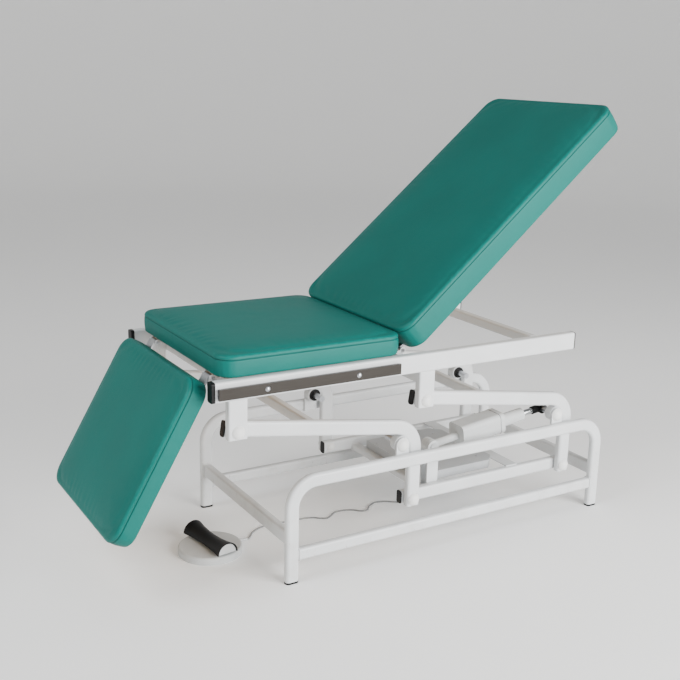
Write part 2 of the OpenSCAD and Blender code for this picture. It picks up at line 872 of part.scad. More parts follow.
module cable_gland() {
    color(cap_black)
        translate([gland_x, gland_y, control_bottom_z - gland_l])
            difference() {
                union() {
                    cylinder(h = gland_l / 2, r = gland_r - cable_r);
                    translate([0, 0, gland_l / 2]) cylinder(h = gland_l / 2, r = gland_r, $fn = 6);
                }
                translate([0, 0, -cut]) cylinder(h = gland_l / 2, r = gland_bore_r);
            }
}

actuator_rear = rear_pivot - [actuator_span, actuator_drop];

// Two ears that stand on the tie frame's cross tube, with the actuator's rear pin
module actuator_bracket() {
    foot_z = tie_cross_z + tie_cross_h;
    color(frame_white)
        translate([actuator_rear[0], -actuator_y, 0]) {
            for (side = [-1, 1])
                translate([0, side * (ear_gap / 2 + ear_t / 2), 0])
                    difference() {
                        union() {
                            translate([-ear_w / 2, -ear_t / 2, foot_z])
                                cube([ear_w, ear_t, actuator_rear[1] - foot_z]);
                            translate([0, 0, actuator_rear[1]]) bar_y(ear_top_r, -ear_t / 2, ear_t / 2);
                        }
                        translate([0, 0, actuator_rear[1]]) bar_y(rear_pin_r + pin_clearance, -ear_t, ear_t);
                    }
            translate([-ear_w / 2, -ear_gap / 2, foot_z]) cube([ear_w, ear_gap, ear_t]);
        }
    color(zinc)
        translate([actuator_rear[0], -actuator_y, actuator_rear[1]]) {
            bar_y(rear_pin_r, -ear_gap / 2 - ear_t, ear_gap / 2 + ear_t);
            for (side = [0, 1])
                mirror([0, side, 0])
                    translate([0, -ear_gap / 2 - ear_t - rear_pin_head_t, 0])
                        bar_y(rear_pin_head_r, 0, rear_pin_head_t);
        }
}

// Actuator

// Places what it holds along the actuator's line: its X runs from the rod's eye to the rear eye
module along_actuator() {
    at_pivot(rear_pivot)
        translate([0, -actuator_y, 0])
            rotate([0, 180 - actuator_angle, 0]) children();
}

// A round bar along the actuator's line
module line_bar(r, x0, x1) {
    translate([x0, 0, 0]) rotate([0, 90, 0]) cylinder(h = x1 - x0, r = r);
}

module rod_clevis() {
    color(cap_black)
        along_actuator()
            difference() {
                union() {
                    bar_y(clevis_eye_r, -clevis_w / 2, clevis_w / 2);
                    line_bar(clevis_neck_r, 0, clevis_l);
                }
                bar_y(pin_r + pin_clearance, -clevis_w, clevis_w);
            }
}

module actuator_rod() {
    color(zinc) along_actuator() line_bar(rod_r, clevis_l, rod_end);
}

module actuator_tube() {
    color(plastic_grey)
        along_actuator()
            difference() {
                line_bar(actuator_tube_r, tube_start, housing_start);
                line_bar(rod_r + rod_bore_gap, tube_start - cut, housing_start + cut);
            }
}

// Gear and motor housing, with the neck and the eye at its rear
module actuator_housing() {
    housing_end = housing_start + housing_length;
    color(plastic_grey)
        along_actuator()
            difference() {
                union() {
                    translate([0, 0, -housing_lift])
                        tube_x(housing_start, housing_length, housing_height, housing_width, housing_corner_r);
                    line_bar(rear_neck_r, housing_end, actuator_length);
                    translate([actuator_length, 0, 0])
                        bar_y(rear_eye_r, -rear_eye_w / 2, rear_eye_w / 2);
                }
                line_bar(rod_r + rod_bore_gap, housing_start - cut, rod_end + housing_lift);
                translate([actuator_length, 0, 0])
                    bar_y(rear_pin_r + open_pivot_clearance, -rear_eye_w, rear_eye_w);
            }
}

// Upper frame

module side_rail(screw_holes) {
    difference() {
        translate([0, 0, rail_z + rail_h / 2])
            tube_x(rail_start, rail_length, rail_h, rail_d, rail_corner_r, tube_wall);
        if (screw_holes)
            for (x = accessory_screw_x)
                translate([x, 0, accessory_z + accessory_h / 2])
                    bar_y(screw_r + pin_clearance, -rail_d, 0);
    }
}

module side_rail_near() {
    color(frame_white) translate([0, -rail_mid_y, 0]) side_rail(true);
}

module side_rail_far() {
    color(frame_white) translate([0, rail_mid_y, 0]) side_rail(false);
}

module rail_cap(t) {
    tube_x(-t, t, rail_h, rail_d, rail_corner_r);
    tube_x(0, rail_plug_l, rail_h - 2 * (tube_wall + fit_gap), rail_d - 2 * (tube_wall + fit_gap),
        rail_corner_r - tube_wall - fit_gap);
}

module rail_end_caps() {
    color(cap_black)
        both_sides()
            translate([0, -rail_mid_y, rail_z + rail_h / 2]) {
                translate([rail_start, 0, 0]) rail_cap(rail_cap_foot_t);
                translate([rail_end, 0, 0]) mirror([1, 0, 0]) rail_cap(rail_cap_head_t);
            }
}

// Tubes between the side rails, and the brace between the two brackets nearest the middle
module upper_cross_tubes() {
    color(frame_white) {
        for (x = [front_cross_x, middle_cross_x])
            translate([x + frame_cross_size / 2, 0, rail_top_z - cross_below - frame_cross_size / 2])
                tube_y(2 * rail_in_y, frame_cross_size, frame_cross_size, cross_corner_r, tube_wall);
        translate([head_bar_x + head_bar_size / 2, 0, rail_top_z - head_bar_size / 2])
            tube_y(2 * rail_in_y, head_bar_size, head_bar_size, cross_corner_r, tube_wall);
        translate([rear_top[0], 0, brace_z + brace_h / 2])
            tube_y(2 * bracket_in_y, brace_w, brace_h, cross_corner_r, tube_wall);
    }
}

module upper_brackets() {
    bracket_z = front_top[1] - bracket_below;
    color(frame_white)
        both_sides()
            for (p = [front_top, rear_top])
                difference() {
                    translate([p[0], -bracket_mid_y, bracket_z])
                        linear_extrude(rail_z - bracket_z) round_rect(bracket_w, bracket_d, bracket_corner_r);
                    at_pivot(p) bar_y(pin_r + pin_clearance, -bracket_out_y - cut, -bracket_in_y + cut);
                }
}

module upper_pivot_pins() {
    color(zinc)
        both_sides()
            for (p = [front_top, rear_top])
                at_pivot(p) {
                    bar_y(pin_r, -bracket_out_y - pin_in_dome, -crank_in_y + washer_gap);
                    bar_y(retainer_r, -crank_in_y + washer_gap, -crank_in_y + washer_gap + retainer_t);
                }
}

module upper_pivot_domes() {
    color(dome_white)
        both_sides()
            for (p = [front_top, rear_top])
                at_pivot(p) dome_near(top_dome_r, dome_h, bracket_out_y, pin_in_dome + pin_clearance);
}

// Flat bar for clamps along the near side rail
module accessory_rail() {
    color(rail_steel)
        difference() {
            translate([accessory_start, -rail_out_y - accessory_gap - accessory_t, accessory_z])
                cube([accessory_length, accessory_t, accessory_h]);
            for (x = accessory_screw_x)
                translate([x, 0, accessory_z + accessory_h / 2])
                    bar_y(screw_r + pin_clearance, -rail_out_y - accessory_gap - accessory_t - cut,
                        -rail_out_y);
        }
}

// Screws of the accessory rail with the spacers behind it
module accessory_rail_screws() {
    bar_out_y = rail_out_y + accessory_gap + accessory_t;
    color(zinc)
        for (x = accessory_screw_x)
            translate([x, 0, accessory_z + accessory_h / 2]) {
                translate([0, -bar_out_y, 0]) rotate([90, 0, 0]) dome(screw_head_r, screw_head_t, 0, 0);
                bar_y(screw_r, -bar_out_y, -rail_out_y + screw_inner_l);
                difference() {
                    bar_y(spacer_r, -rail_out_y - accessory_gap, -rail_out_y);
                    bar_y(screw_r + pin_clearance, -bar_out_y, -rail_in_y);
                }
            }
}

// Upholstered sections

corner_steps = 6;
ring_points = 4 * (corner_steps + 1);

// Points of a level outline with round corners, l by w, drawn in by an inset
function cushion_ring(l, w, r, inset, z) =
    let (
        c = max(r - inset, edge_r),
        x = l / 2 - inset - c,
        y = w / 2 - inset - c
    )
    [
        for (q = [0:3], i = [0:corner_steps])
            let (a = 90 * (q + i / corner_steps))
            [
                (q == 0 || q == 3 ? x : -x) + c * cos(a),
                (q < 2 ? y : -y) + c * sin(a),
                z
            ]
    ];

// Inset and height shares of the crown's rings, from the edge to the middle
crown_shares = [[0.10, 0.45], [0.22, 0.72], [0.45, 0.92], [0.72, 1]];

// A closed upholstered block on a board: hem, sides drawn in at the seam, rounded edge and crown
module cushion(l, w, t) {
    edge_z = t - crown_h;
    half = min(l, w) / 2;
    recess_r = cushion_corner_r - board_inset;
    sides = [
        [board_inset - board_gap, board_t + board_gap], [board_inset - board_gap, 0], [hem_inset, 0],
        [hem_inset / 3, hem_h / 2], [0, hem_h * 2], [0, edge_z - seam_drop - seam_half],
        [seam_depth, edge_z - seam_drop], [0, edge_z - seam_drop + seam_half], [0, edge_z - edge_r],
        [edge_r / 4, edge_z - edge_r / 3], [edge_r, edge_z]
    ];
    top = [for (s = crown_shares) [half * s[0] + edge_r, edge_z + crown_h * s[1]]];
    rings = concat(sides, top);
    points = concat(
        [for (s = rings, p = cushion_ring(l, w, cushion_corner_r, s[0], s[1])) p],
        [[0, 0, board_t + board_gap], [0, 0, t]]
    );
    polyhedron(points, skin_faces(len(rings), ring_points), convexity = 4);
}

// Plywood board let into the underside of an upholstered block
module board(l, w) {
    linear_extrude(board_t) round_rect(l - 2 * board_inset, w - 2 * board_inset, board_corner_r);
}

seat_middle_x = seat_start + seat_length / 2;

module seat_board() {
    color(plywood) translate([seat_middle_x, 0, rail_top_z]) board(seat_length, couch_width);
}

module seat_cushion() {
    color(upholstery_green)
        translate([seat_middle_x, 0, rail_top_z + seat_gap]) cushion(seat_length, couch_width, seat_t);
}

// Places what it holds in the backrest's own frame, level with its hinge at the origin
module on_backrest() {
    at_pivot(backrest_hinge) rotate([0, -backrest_angle, 0]) children();
}

// Places what it holds in the leg section's own frame, level with its hinge at the origin
module on_legrest() {
    at_pivot(legrest_hinge) rotate([0, -legrest_angle, 0]) children();
}

module backrest_board() {
    color(plywood)
        on_backrest()
            translate([backrest_inset_x + backrest_length / 2, 0, backrest_under])
                board(backrest_length, couch_width);
}

module backrest_cushion() {
    color(upholstery_green)
        on_backrest()
            translate([backrest_inset_x + backrest_length / 2, 0, backrest_under])
                cushion(backrest_length, couch_width, backrest_t);
}

module legrest_board() {
    color(plywood)
        on_legrest()
            translate([-legrest_inset_x - legrest_length / 2, 0, legrest_under])
                board(legrest_length, legrest_width);
}

module legrest_cushion() {
    color(upholstery_green)
        on_legrest()
            translate([-legrest_inset_x - legrest_length / 2, 0, legrest_under])
                cushion(legrest_length, legrest_width, legrest_t);
}

// Leaves screwed under a board, each with a knuckle on the hinge's axis
module hinge_leaves(under) {
    both_sides()
        translate([0, -hinge_y, 0])
            difference() {
                union() {
                    bar_y(knuckle_r, -hinge_leaf_w / 2, hinge_leaf_w / 2);
                    translate([0, -hinge_leaf_w / 2, under - hinge_leaf_t])
                        cube([hinge_leaf_l, hinge_leaf_w, hinge_leaf_t]);
                }
                bar_y(hinge_pin_r + pin_clearance, -hinge_leaf_w, hinge_leaf_w);
            }
}

module backrest_hinges() {
    color(zinc) on_backrest() hinge_leaves(backrest_under);
}

module legrest_hinges() {
    color(zinc) on_legrest() mirror([1, 0, 0]) hinge_leaves(legrest_under);
}

// A pair of ears beside each knuckle, on a cross tube's face at x
module ear_pair(hinge, x) {
    ear_y = hinge_leaf_w / 2 + hinge_side_gap;
    reach = abs(hinge[0] - x);
    toward = hinge[0] > x ? 1 : -1;
    cross_z = rail_top_z - cross_below - frame_cross_size;
    both_sides()
        for (side = [-1, 1])
            translate([x, -hinge_y + side * (ear_y + hinge_ear_t / 2), 0])
                difference() {
                    union() {
                        translate([toward > 0 ? 0 : -reach, -hinge_ear_t / 2, cross_z])
                            cube([reach, hinge_ear_t, hinge_ear_h]);
                        translate([toward * reach, 0, hinge[1]])
                            bar_y(hinge_ear_r, -hinge_ear_t / 2, hinge_ear_t / 2);
                        translate([toward > 0 ? 0 : -reach, -hinge_ear_t / 2, hinge[1] - hinge_ear_r])
                            cube([reach, hinge_ear_t, hinge_ear_r]);
                    }
                    translate([toward * reach, 0, hinge[1]])
                        bar_y(hinge_pin_r + pin_clearance, -hinge_ear_t, hinge_ear_t);
                }
}

module hinge_ears() {
    color(frame_white) {
        ear_pair(backrest_hinge, middle_cross_x + frame_cross_size);
        ear_pair(legrest_hinge, front_cross_x);
    }
}

module hinge_pins() {
    half = hinge_leaf_w / 2 + hinge_side_gap + hinge_ear_t + hinge_pin_over;
    color(zinc)
        both_sides()
            for (p = [backrest_hinge, legrest_hinge])
                at_pivot(p) translate([0, -hinge_y, 0]) bar_y(hinge_pin_r, -half, half);
}

// Foot switch

module at_foot_switch() {
    translate([foot_switch_x, foot_switch_y, 0]) children();
}

// Round housing with a rounded upper edge and the cable's sleeve
module foot_switch_base() {
    color(plastic_grey)
        at_foot_switch() {
            rotate_extrude($fn = 120) {
                square([foot_switch_r, foot_switch_h - foot_switch_round]);
                square([foot_switch_r - foot_switch_round, foot_switch_h]);
                translate([foot_switch_r - foot_switch_round, foot_switch_h - foot_switch_round])
                    intersection() {
                        circle(foot_switch_round);
                        square(foot_switch_round);
                    }
            }
            translate([foot_switch_r - foot_switch_round, -foot_switch_y - cable_r, switch_gland_z])
                line_bar(switch_gland_r, 0, switch_gland_l);
        }
}

// The block that the pedal rocks on, with its pin
module pedal_pivot() {
    color(cap_black)
        at_foot_switch()
            rotate([0, 0, pedal_turn])
                translate([0, 0, foot_switch_h]) {
                    difference() {
                        translate([-pedal_block_w / 2, -pedal_block_l / 2, 0])
                            cube([pedal_block_w, pedal_block_l, pedal_pivot_rise + pedal_pin_r]);
                        translate([0, 0, pedal_pivot_rise])
                            bar_y(pedal_pin_r + pin_clearance, -pedal_block_l, pedal_block_l);
                    }
                    translate([0, 0, pedal_pivot_rise]) bar_y(pedal_pin_r, -pedal_pin_l / 2, pedal_pin_l / 2);
                }
}

// A spool along X whose waist is drawn in along an arc
module spool(l, end_r, waist_r) {
    sag = end_r - waist_r;
    arc_r = (l * l / 4 + sag * sag) / (2 * sag);
    rotate([0, 90, 0])
        rotate_extrude($fn = 96)
            difference() {
                translate([0, -l / 2]) square([end_r, l]);
                translate([waist_r + arc_r, 0]) circle(arc_r, $fn = 360);
            }
}

// Upper half of a spool, kept to a length about its middle
module half_spool(l, end_r, waist_r, kept_l) {
    intersection() {
        spool(l, end_r, waist_r);
        translate([-kept_l / 2, -end_r - cut, 0]) cube([kept_l, 2 * (end_r + cut), end_r + cut]);
    }
}

// Places what it holds in the pedal's own frame, with the origin on the arch's centre line
module on_pedal() {
    at_foot_switch()
        rotate([0, 0, pedal_turn])
            translate([0, 0, foot_switch_h + pedal_lift]) children();
}

module foot_pedal() {
    color(cap_black)
        on_pedal()
            difference() {
                half_spool(pedal_length, pedal_end_r, pedal_waist_r, pedal_length);
                spool(pedal_length + cut, pedal_end_r - pedal_wall, pedal_waist_r - pedal_wall);
            }
}

// Core of the pedal, with a pocket for the block that it rocks on
module pedal_core() {
    drawn_in = pedal_wall + core_gap;
    color(plastic_grey)
        on_pedal()
            difference() {
                half_spool(pedal_length + cut, pedal_end_r - drawn_in, pedal_waist_r - drawn_in,
                    pedal_length - 2 * core_recess);
                translate([-pedal_block_w / 2 - core_slot_gap, -pedal_block_l / 2 - core_slot_gap, -cut])
                    cube([pedal_block_w + 2 * core_slot_gap, pedal_block_l + 2 * core_slot_gap,
                        pedal_pivot_rise - pedal_lift + pedal_pin_r + core_slot_gap + cut]);
                translate([0, 0, pedal_pivot_rise - pedal_lift])
                    bar_y(pedal_pin_r + pin_clearance, -pedal_pin_l, pedal_pin_l);
            }
}

// Pedal cable

// A smooth curve through four route points, at share u between the middle two
function curve_point(p0, p1, p2, p3, u) =
    p1 + (p2 - p0) * u / 2
    + (2 * p0 - 5 * p1 + 4 * p2 - p3) * u * u / 2
    + (3 * p1 - p0 - 3 * p2 + p3) * u * u * u / 2;

cable_last = len(cable_points) - 1;
cable_path = concat(
    [
        for (i = [0:cable_last - 1], k = [0:cable_steps - 1])
            curve_point(cable_points[max(i - 1, 0)], cable_points[i], cable_points[i + 1],
                cable_points[min(i + 2, cable_last)], k / cable_steps)
    ],
    [cable_points[cable_last]]
);
cable_rings = len(cable_path);

function unit(v) = v / norm(v);
function path_direction(i) =
    i == 0 ? [1, 0, 0]
    : i == cable_rings - 1 ? [0, 0, 1]
    : unit(cable_path[i + 1] - cable_path[i - 1]);

// One ring of the cable, square to its path; the sides stay level along the floor
function cable_ring(i) =
    let (
        d = path_direction(i),
        side = unit(cross([0.2, 1, 0], d)),
        up = cross(d, side)
    )
    [
        for (k = [0:cable_sides - 1])
            let (a = 360 * k / cable_sides)
            cable_path[i] + cable_r * (cos(a) * side + sin(a) * up)
    ];

module pedal_cable() {
    points = concat(
        [for (i = [0:cable_rings - 1], p = cable_ring(i)) p],
        [cable_path[0], cable_path[cable_rings - 1]]
    );
    color(cable_grey) polyhedron(points, skin_faces(cable_rings, cable_sides), convexity = 10);
}

base_hoop_near();
base_hoop_far();
base_lower_rails();
base_cross_tubes();
foot_caps();
pivot_lugs();
base_pivot_pins();
base_pivot_domes();
base_pivot_washers();
foot_switch_base();
pedal_pivot();
pedal_cable();
front_crank_near();
front_crank_far();
front_crank_tube();
front_crank_caps();
rear_crank_near();
rear_crank_far();
rear_crank_tube();
rear_crank_caps();
tie_bar_near();
tie_bar_far();
tie_cross_tube();
tie_bar_caps();
tie_pivot_pins();
tie_pivot_domes();
tray();
tray_strap();
tray_screws();
control_box();
mains_inlet();
cable_gland();
actuator_bracket();
actuator_rod();
rod_clevis();
actuator_tube();
actuator_housing();
side_rail_near();
side_rail_far();
rail_end_caps();
upper_cross_tubes();
upper_brackets();
upper_pivot_pins();
upper_pivot_domes();
accessory_rail();
accessory_rail_screws();
seat_board();
seat_cushion();
hinge_ears();
hinge_pins();
backrest_board();
backrest_cushion();
backrest_hinges();
legrest_board();
legrest_cushion();
legrest_hinges();
foot_pedal();
pedal_core();
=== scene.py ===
"""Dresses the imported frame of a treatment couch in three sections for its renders.

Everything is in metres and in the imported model's frame: X runs from the foot end to the head
end, Y across the couch and Z up from the floor. The near side is the one at negative Y.
"""

import json
import logging
import math
from dataclasses import dataclass, field
from enum import Enum
from functools import lru_cache

import bpy
import numpy as np
from mathutils import Matrix, Vector


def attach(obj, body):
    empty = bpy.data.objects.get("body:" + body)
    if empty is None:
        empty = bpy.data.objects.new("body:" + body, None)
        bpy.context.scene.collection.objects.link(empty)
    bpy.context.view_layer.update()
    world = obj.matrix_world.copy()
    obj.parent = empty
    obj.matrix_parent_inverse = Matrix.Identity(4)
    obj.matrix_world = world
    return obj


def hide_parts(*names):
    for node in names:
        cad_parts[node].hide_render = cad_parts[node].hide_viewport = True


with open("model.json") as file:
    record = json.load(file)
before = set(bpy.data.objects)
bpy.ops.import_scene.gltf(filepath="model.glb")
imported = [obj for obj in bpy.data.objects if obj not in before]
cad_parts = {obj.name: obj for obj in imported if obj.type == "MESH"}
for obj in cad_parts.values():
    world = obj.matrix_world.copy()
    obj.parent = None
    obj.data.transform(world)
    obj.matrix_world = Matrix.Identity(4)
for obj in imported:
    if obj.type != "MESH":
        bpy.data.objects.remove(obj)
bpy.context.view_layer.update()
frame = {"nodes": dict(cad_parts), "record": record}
LOG = logging.getLogger("couch")
MM = 0.001
BEAD_STEP = 0.85 * MM
BEAD_RIPPLE = 3.4 * MM
TUBE_CORNER = 6 * MM

Colour = tuple[float, float, float]


def shade(red: float, green: float, blue: float) -> tuple[float, float, float, float]:
    """Turns a display colour of 0 to 255 into the linear colour that a shader reads.

    Args:
        red: Red, 0 to 255.
        green: Green, 0 to 255.
        blue: Blue, 0 to 255.

    Returns:
        Linear red, green, blue and an alpha of 1.
    """
    share = np.array([red, green, blue], float) / 255
    linear = np.where(share <= 0.04045, share / 12.92, ((share + 0.055) / 1.055) ** 2.4)
    return (*(float(c) for c in linear), 1.0)


class Side(Enum):
    """The two sides of the couch, as the sign of Y."""

    NEAR = -1
    FAR = 1


# Shader graphs


class Graph:
    """The node tree of one material, with one method that adds any node."""

    def __init__(self, name: str) -> None:
        """Starts a material with a Principled shader on its output."""
        self.material = bpy.data.materials.new(name)
        self.material.use_nodes = True
        self.tree = self.material.node_tree
        self.shader = self.tree.nodes["Principled BSDF"]

    def add(
        self, kind: str, settings: dict | None = None, inputs: dict | None = None,
    ) -> bpy.types.Node:
        """Adds a node, sets it, and fills or links its sockets.

        Args:
            kind: Node type without its ShaderNode prefix.
            settings: Node properties, set before its sockets.
            inputs: Values or links by socket name or number.

        Returns:
            The new node.
        """
        node = self.tree.nodes.new("ShaderNode" + kind)
        for key, value in (settings or {}).items():
            setattr(node, key, value)
        for key, value in (inputs or {}).items():
            self.feed(node.inputs[key], value)
        return node

    def feed(self, socket: bpy.types.NodeSocket, value: object) -> None:
        """Links a value to a socket, or sets the socket's own constant."""
        if isinstance(value, Value):
            self.tree.links.new(value.socket, socket)
        else:
            socket.default_value = value

    def value(self, node: bpy.types.Node, name: str | int = 0) -> "Value":
        """Wraps one of a node's outputs for arithmetic."""
        return Value(self, node.outputs[name])

    def place(self, turn: tuple = (0, 0, 0), scale: tuple = (1, 1, 1)) -> "Value":
        """Object coordinates, turned and stretched by a Mapping node."""
        coordinates = self.value(self.add("TexCoord"), "Object")
        if turn == (0, 0, 0) and scale == (1, 1, 1):
            return coordinates
        inputs = {"Vector": coordinates, "Rotation": turn, "Scale": scale}
        return self.value(self.add("Mapping", {}, inputs))

    def noise(self, where: "Value", scale: float, detail: float = 3, rough: float = 0.5) -> "Value":
        """Smooth noise of about 0 to 1 at a scale in cells per metre."""
        inputs = {"Vector": where, "Scale": scale, "Detail": detail, "Roughness": rough}
        return self.value(self.add("TexNoise", {}, inputs), "Fac")

    def cells(self, where: "Value", scale: float) -> "Value":
        """Distance within rounded cells at a scale in cells per metre."""
        inputs = {"Vector": where, "Scale": scale}
        return self.value(self.add("TexVoronoi", {}, inputs), "Distance")

    def attribute(self, name: str) -> "Value":
        """A number kept on the mesh's own points."""
        return self.value(self.add("Attribute", {"attribute_name": name}), "Fac")

    def mix(self, factor: "Value | float", first: object, second: object) -> "Value":
        """Blends two colours by a factor."""
        node = self.add("Mix", {"data_type": "RGBA"}, {0: factor, 6: first, 7: second})
        return self.value(node, 2)

    def tones(self, factor: "Value", colour: Colour, share: float) -> "Value":
        """A colour that falls to a share of itself where the factor is 0."""
        return self.mix(factor, shade(*(share * c for c in colour)), shade(*colour))

    def bump(self, height: "Value", distance: float, normal: "Value | None" = None) -> "Value":
        """Raises a surface by a height times a distance in metres."""
        inputs = {"Height": height, "Distance": distance, "Strength": 1.0}
        if normal is not None:
            inputs["Normal"] = normal
        return self.value(self.add("Bump", {}, inputs))

    def finish(self, **sockets: object) -> bpy.types.Material:
        """Feeds the shader's sockets, named with underscores, and gives the material."""
        for name, value in sockets.items():
            self.feed(self.shader.inputs[name.replace("_", " ")], value)
        return self.material


@dataclass(frozen=True)
class Value:
    """A socket on which Python arithmetic adds Math nodes."""

    graph: Graph
    socket: bpy.types.NodeSocket

    def _math(self, operation: str, *terms: "Value | float") -> "Value":
        """Adds one Math node on the given terms."""
        inputs = dict(enumerate(terms))
        return self.graph.value(self.graph.add("Math", {"operation": operation}, inputs))

    def __add__(self, other: "Value | float") -> "Value":
        """Sum."""
        return self._math("ADD", self, other)

    def __radd__(self, other: float) -> "Value":
        """Sum with the number first."""
        return self._math("ADD", other, self)

    def __sub__(self, other: "Value | float") -> "Value":
        """Difference."""
        return self._math("SUBTRACT", self, other)

    def __rsub__(self, other: float) -> "Value":
        """Difference with the number first."""
        return self._math("SUBTRACT", other, self)

    def __mul__(self, other: "Value | float") -> "Value":
        """Product."""
        return self._math("MULTIPLY", self, other)

    def __rmul__(self, other: float) -> "Value":
        """Product with the number first."""
        return self._math("MULTIPLY", other, self)

    def step(self, low: float, high: float) -> "Value":
        """Rises smoothly from 0 at low to 1 at high."""
        inputs = {"Value": self, "From Min": low, "From Max": high}
        settings = {"interpolation_type": "SMOOTHSTEP", "clamp": True}
        return self.graph.value(self.graph.add("MapRange", settings, inputs))

    def sine(self) -> "Value":
        """Sine of an angle in radians."""
        return self._math("SINE", self)

    def axis(self, name: str) -> "Value":
        """One part, X, Y or Z, of a vector."""
        return self.graph.value(self.graph.add("SeparateXYZ", {}, {0: self}), name)


# Finishes


@dataclass(frozen=True)
class PowderCoat:
    """Satin powder coat on steel tube: fine orange peel, and scuffs near the floor."""

    colour: Colour = (214, 216, 217)
    scuffed: bool = False

    def build(self) -> bpy.types.Material:
        """Makes the material."""
        g = Graph(f"powder_coat_{round(self.colour[0])}" + "_scuffed" * self.scuffed)
        where = g.place()
        cloud = g.noise(where, 9, 3)
        paint = g.tones(cloud.step(0.3, 0.75), self.colour, 0.965)
        rough = 0.30 + 0.12 * cloud
        if self.scuffed:
            low = 1 - where.axis("Z").step(0.02, 0.30)
            upright = g.noise(g.place(scale=(1, 1, 0.25)), 120, 4, 0.7)
            marks = upright.step(0.60, 0.72) * (0.25 + 0.75 * low)
            dust = low * g.noise(where, 30, 4).step(0.42, 0.8)
            paint = g.mix(marks * 0.45, paint, shade(120, 117, 112))
            paint = g.mix(dust * 0.22, paint, shade(168, 160, 146))
            rough = rough + 0.25 * marks + 0.15 * dust
        peel = g.noise(where, 420, 2)
        return g.finish(Base_Color=paint, Roughness=rough, Normal=g.bump(peel, 0.00006))


@dataclass(frozen=True)
class MouldedPlastic:
    """Moulded plastic with a spark-eroded grain and faint handling marks."""

    name: str
    colour: Colour
    roughness: float = 0.45
    grain: float = 0.00004

    def build(self) -> bpy.types.Material:
        """Makes the material."""
        g = Graph(self.name)
        where = g.place()
        rub = g.noise(where, 26, 4).step(0.35, 0.8)
        base = g.mix(rub, shade(*self.colour), shade(*(c + 7 for c in self.colour)))
        fine = g.noise(where, 1500, 2) * 0.6 + g.cells(where, 1100) * 0.4
        return g.finish(
            Base_Color=base, Roughness=self.roughness + 0.12 * rub, Normal=g.bump(fine, self.grain),
            Specular_IOR_Level=0.22,
        )


class Metal(Enum):
    """Kinds of bare metal, with their colour, roughness, grain scale and stretch."""

    ZINC = ((196, 198, 202), 0.30, 160, (1, 1, 1))
    CHROME = ((226, 228, 230), 0.09, 60, (0.2, 1, 1))
    BAR = ((62, 59, 56), 0.40, 900, (0.012, 1, 1))


@dataclass(frozen=True)
class BareMetal:
    """Bare or plated metal whose grain runs the way the part was drawn or turned."""

    kind: Metal

    def build(self) -> bpy.types.Material:
        """Makes the material."""
        colour, roughness, scale, stretch = self.kind.value
        g = Graph(f"metal_{self.kind.name.lower()}")
        lines = g.noise(g.place(scale=stretch), scale, 4, 0.65)
        stain = g.noise(g.place(), 22, 4).step(0.45, 0.85)
        base = g.tones(lines.step(0.3, 0.7), colour, 0.9)
        rough = roughness + 0.16 * lines - 0.08 + 0.14 * stain
        normal = g.bump(lines, 0.00002)
        return g.finish(Base_Color=base, Roughness=rough, Metallic=1.0, Normal=normal)


@dataclass(frozen=True)
class Plywood:
    """Birch plywood, its grain along a board that is tilted by an angle in degrees."""

    tilt: float

    def build(self) -> bpy.types.Material:
        """Makes the material."""
        g = Graph(f"plywood_{abs(round(self.tilt))}")
        turn = (0, math.radians(self.tilt), 0)
        along = g.place(turn, (1, 1, 1))
        fibre = g.noise(g.place(turn, (0.05, 1, 0.4)), 260, 5, 0.6)
        flame = g.noise(g.place(turn, (0.25, 1, 0.3)), 14, 3)
        rings = (fibre * 5 + flame * 46).sine() * 0.5 + 0.5
        face = g.mix(rings, shade(190, 155, 110), shade(212, 180, 136))
        face = g.mix(fibre.step(0.5, 0.8) * 0.5, face, shade(158, 120, 80))
        spots = g.cells(along, 7).step(0.0, 0.03)
        face = g.mix(1 - spots, face, shade(120, 84, 54))
        normal = g.bump(fibre, 0.00015)
        return g.finish(Base_Color=face, Roughness=0.55 + 0.2 * fibre, Normal=normal)


@dataclass(frozen=True)
class Vinyl:
    """Artificial leather: pebbled grain, soft sheen, painted shade in its seams and worn on its
    edges.
    """

    colour: Colour = (0, 102, 94)

    def build(self) -> bpy.types.Material:
        """Makes the material."""
        g = Graph("artificial_leather")
        where = g.place()
        cloud = g.noise(where, 5, 4)
        seam = g.attribute("seam")
        edge = g.attribute("edge")
        base = g.tones(cloud.step(0.3, 0.75), self.colour, 0.95)
        base = g.mix(edge * g.noise(where, 60, 4).step(0.4, 0.8) * 0.3, base, shade(30, 128, 120))
        # Painted shade: the seam attribute darkens the seam groove towards a dark teal.
        base = g.mix(seam * 0.55, base, shade(0, 48, 44))
        pebble = g.cells(where, 620)
        skin = pebble.step(0.0, 0.9) + g.noise(where, 2100, 1) * 0.25
        wave = g.noise(where, 11, 2)
        soft = g.bump(wave, 0.0012)
        rough = 0.44 + 0.10 * cloud - 0.07 * edge + 0.08 * pebble
        return g.finish(
            Base_Color=base, Roughness=rough, Normal=g.bump(skin, 0.00014, soft),
            Specular_IOR_Level=0.2,
        )


@dataclass(frozen=True)
class Thread:
    """Twisted sewing thread."""

    colour: Colour = (40, 112, 104)

    def build(self) -> bpy.types.Material:
        """Makes the material."""
        g = Graph("thread")
        where = g.place()
        twist = g.noise(where, 2600, 2)
        base = g.tones(twist.step(0.35, 0.7), self.colour, 0.7)
        return g.finish(Base_Color=base, Roughness=0.6, Normal=g.bump(twist, 0.0001))


@dataclass(frozen=True)
class Jacket:
    """Extruded cable jacket, with faint lines and dust from the floor."""

    colour: Colour = (120, 121, 122)

    def build(self) -> bpy.types.Material:
        """Makes the material."""
        g = Graph("cable_jacket")
        where = g.place()
        dust = g.noise(where, 90, 4).step(0.45, 0.8)
        base = g.mix(dust * 0.5, shade(*self.colour), shade(164, 160, 152))
        lines = g.bump(g.noise(where, 900, 2), 0.00004)
        return g.finish(Base_Color=base, Roughness=0.42 + 0.25 * dust, Normal=lines)


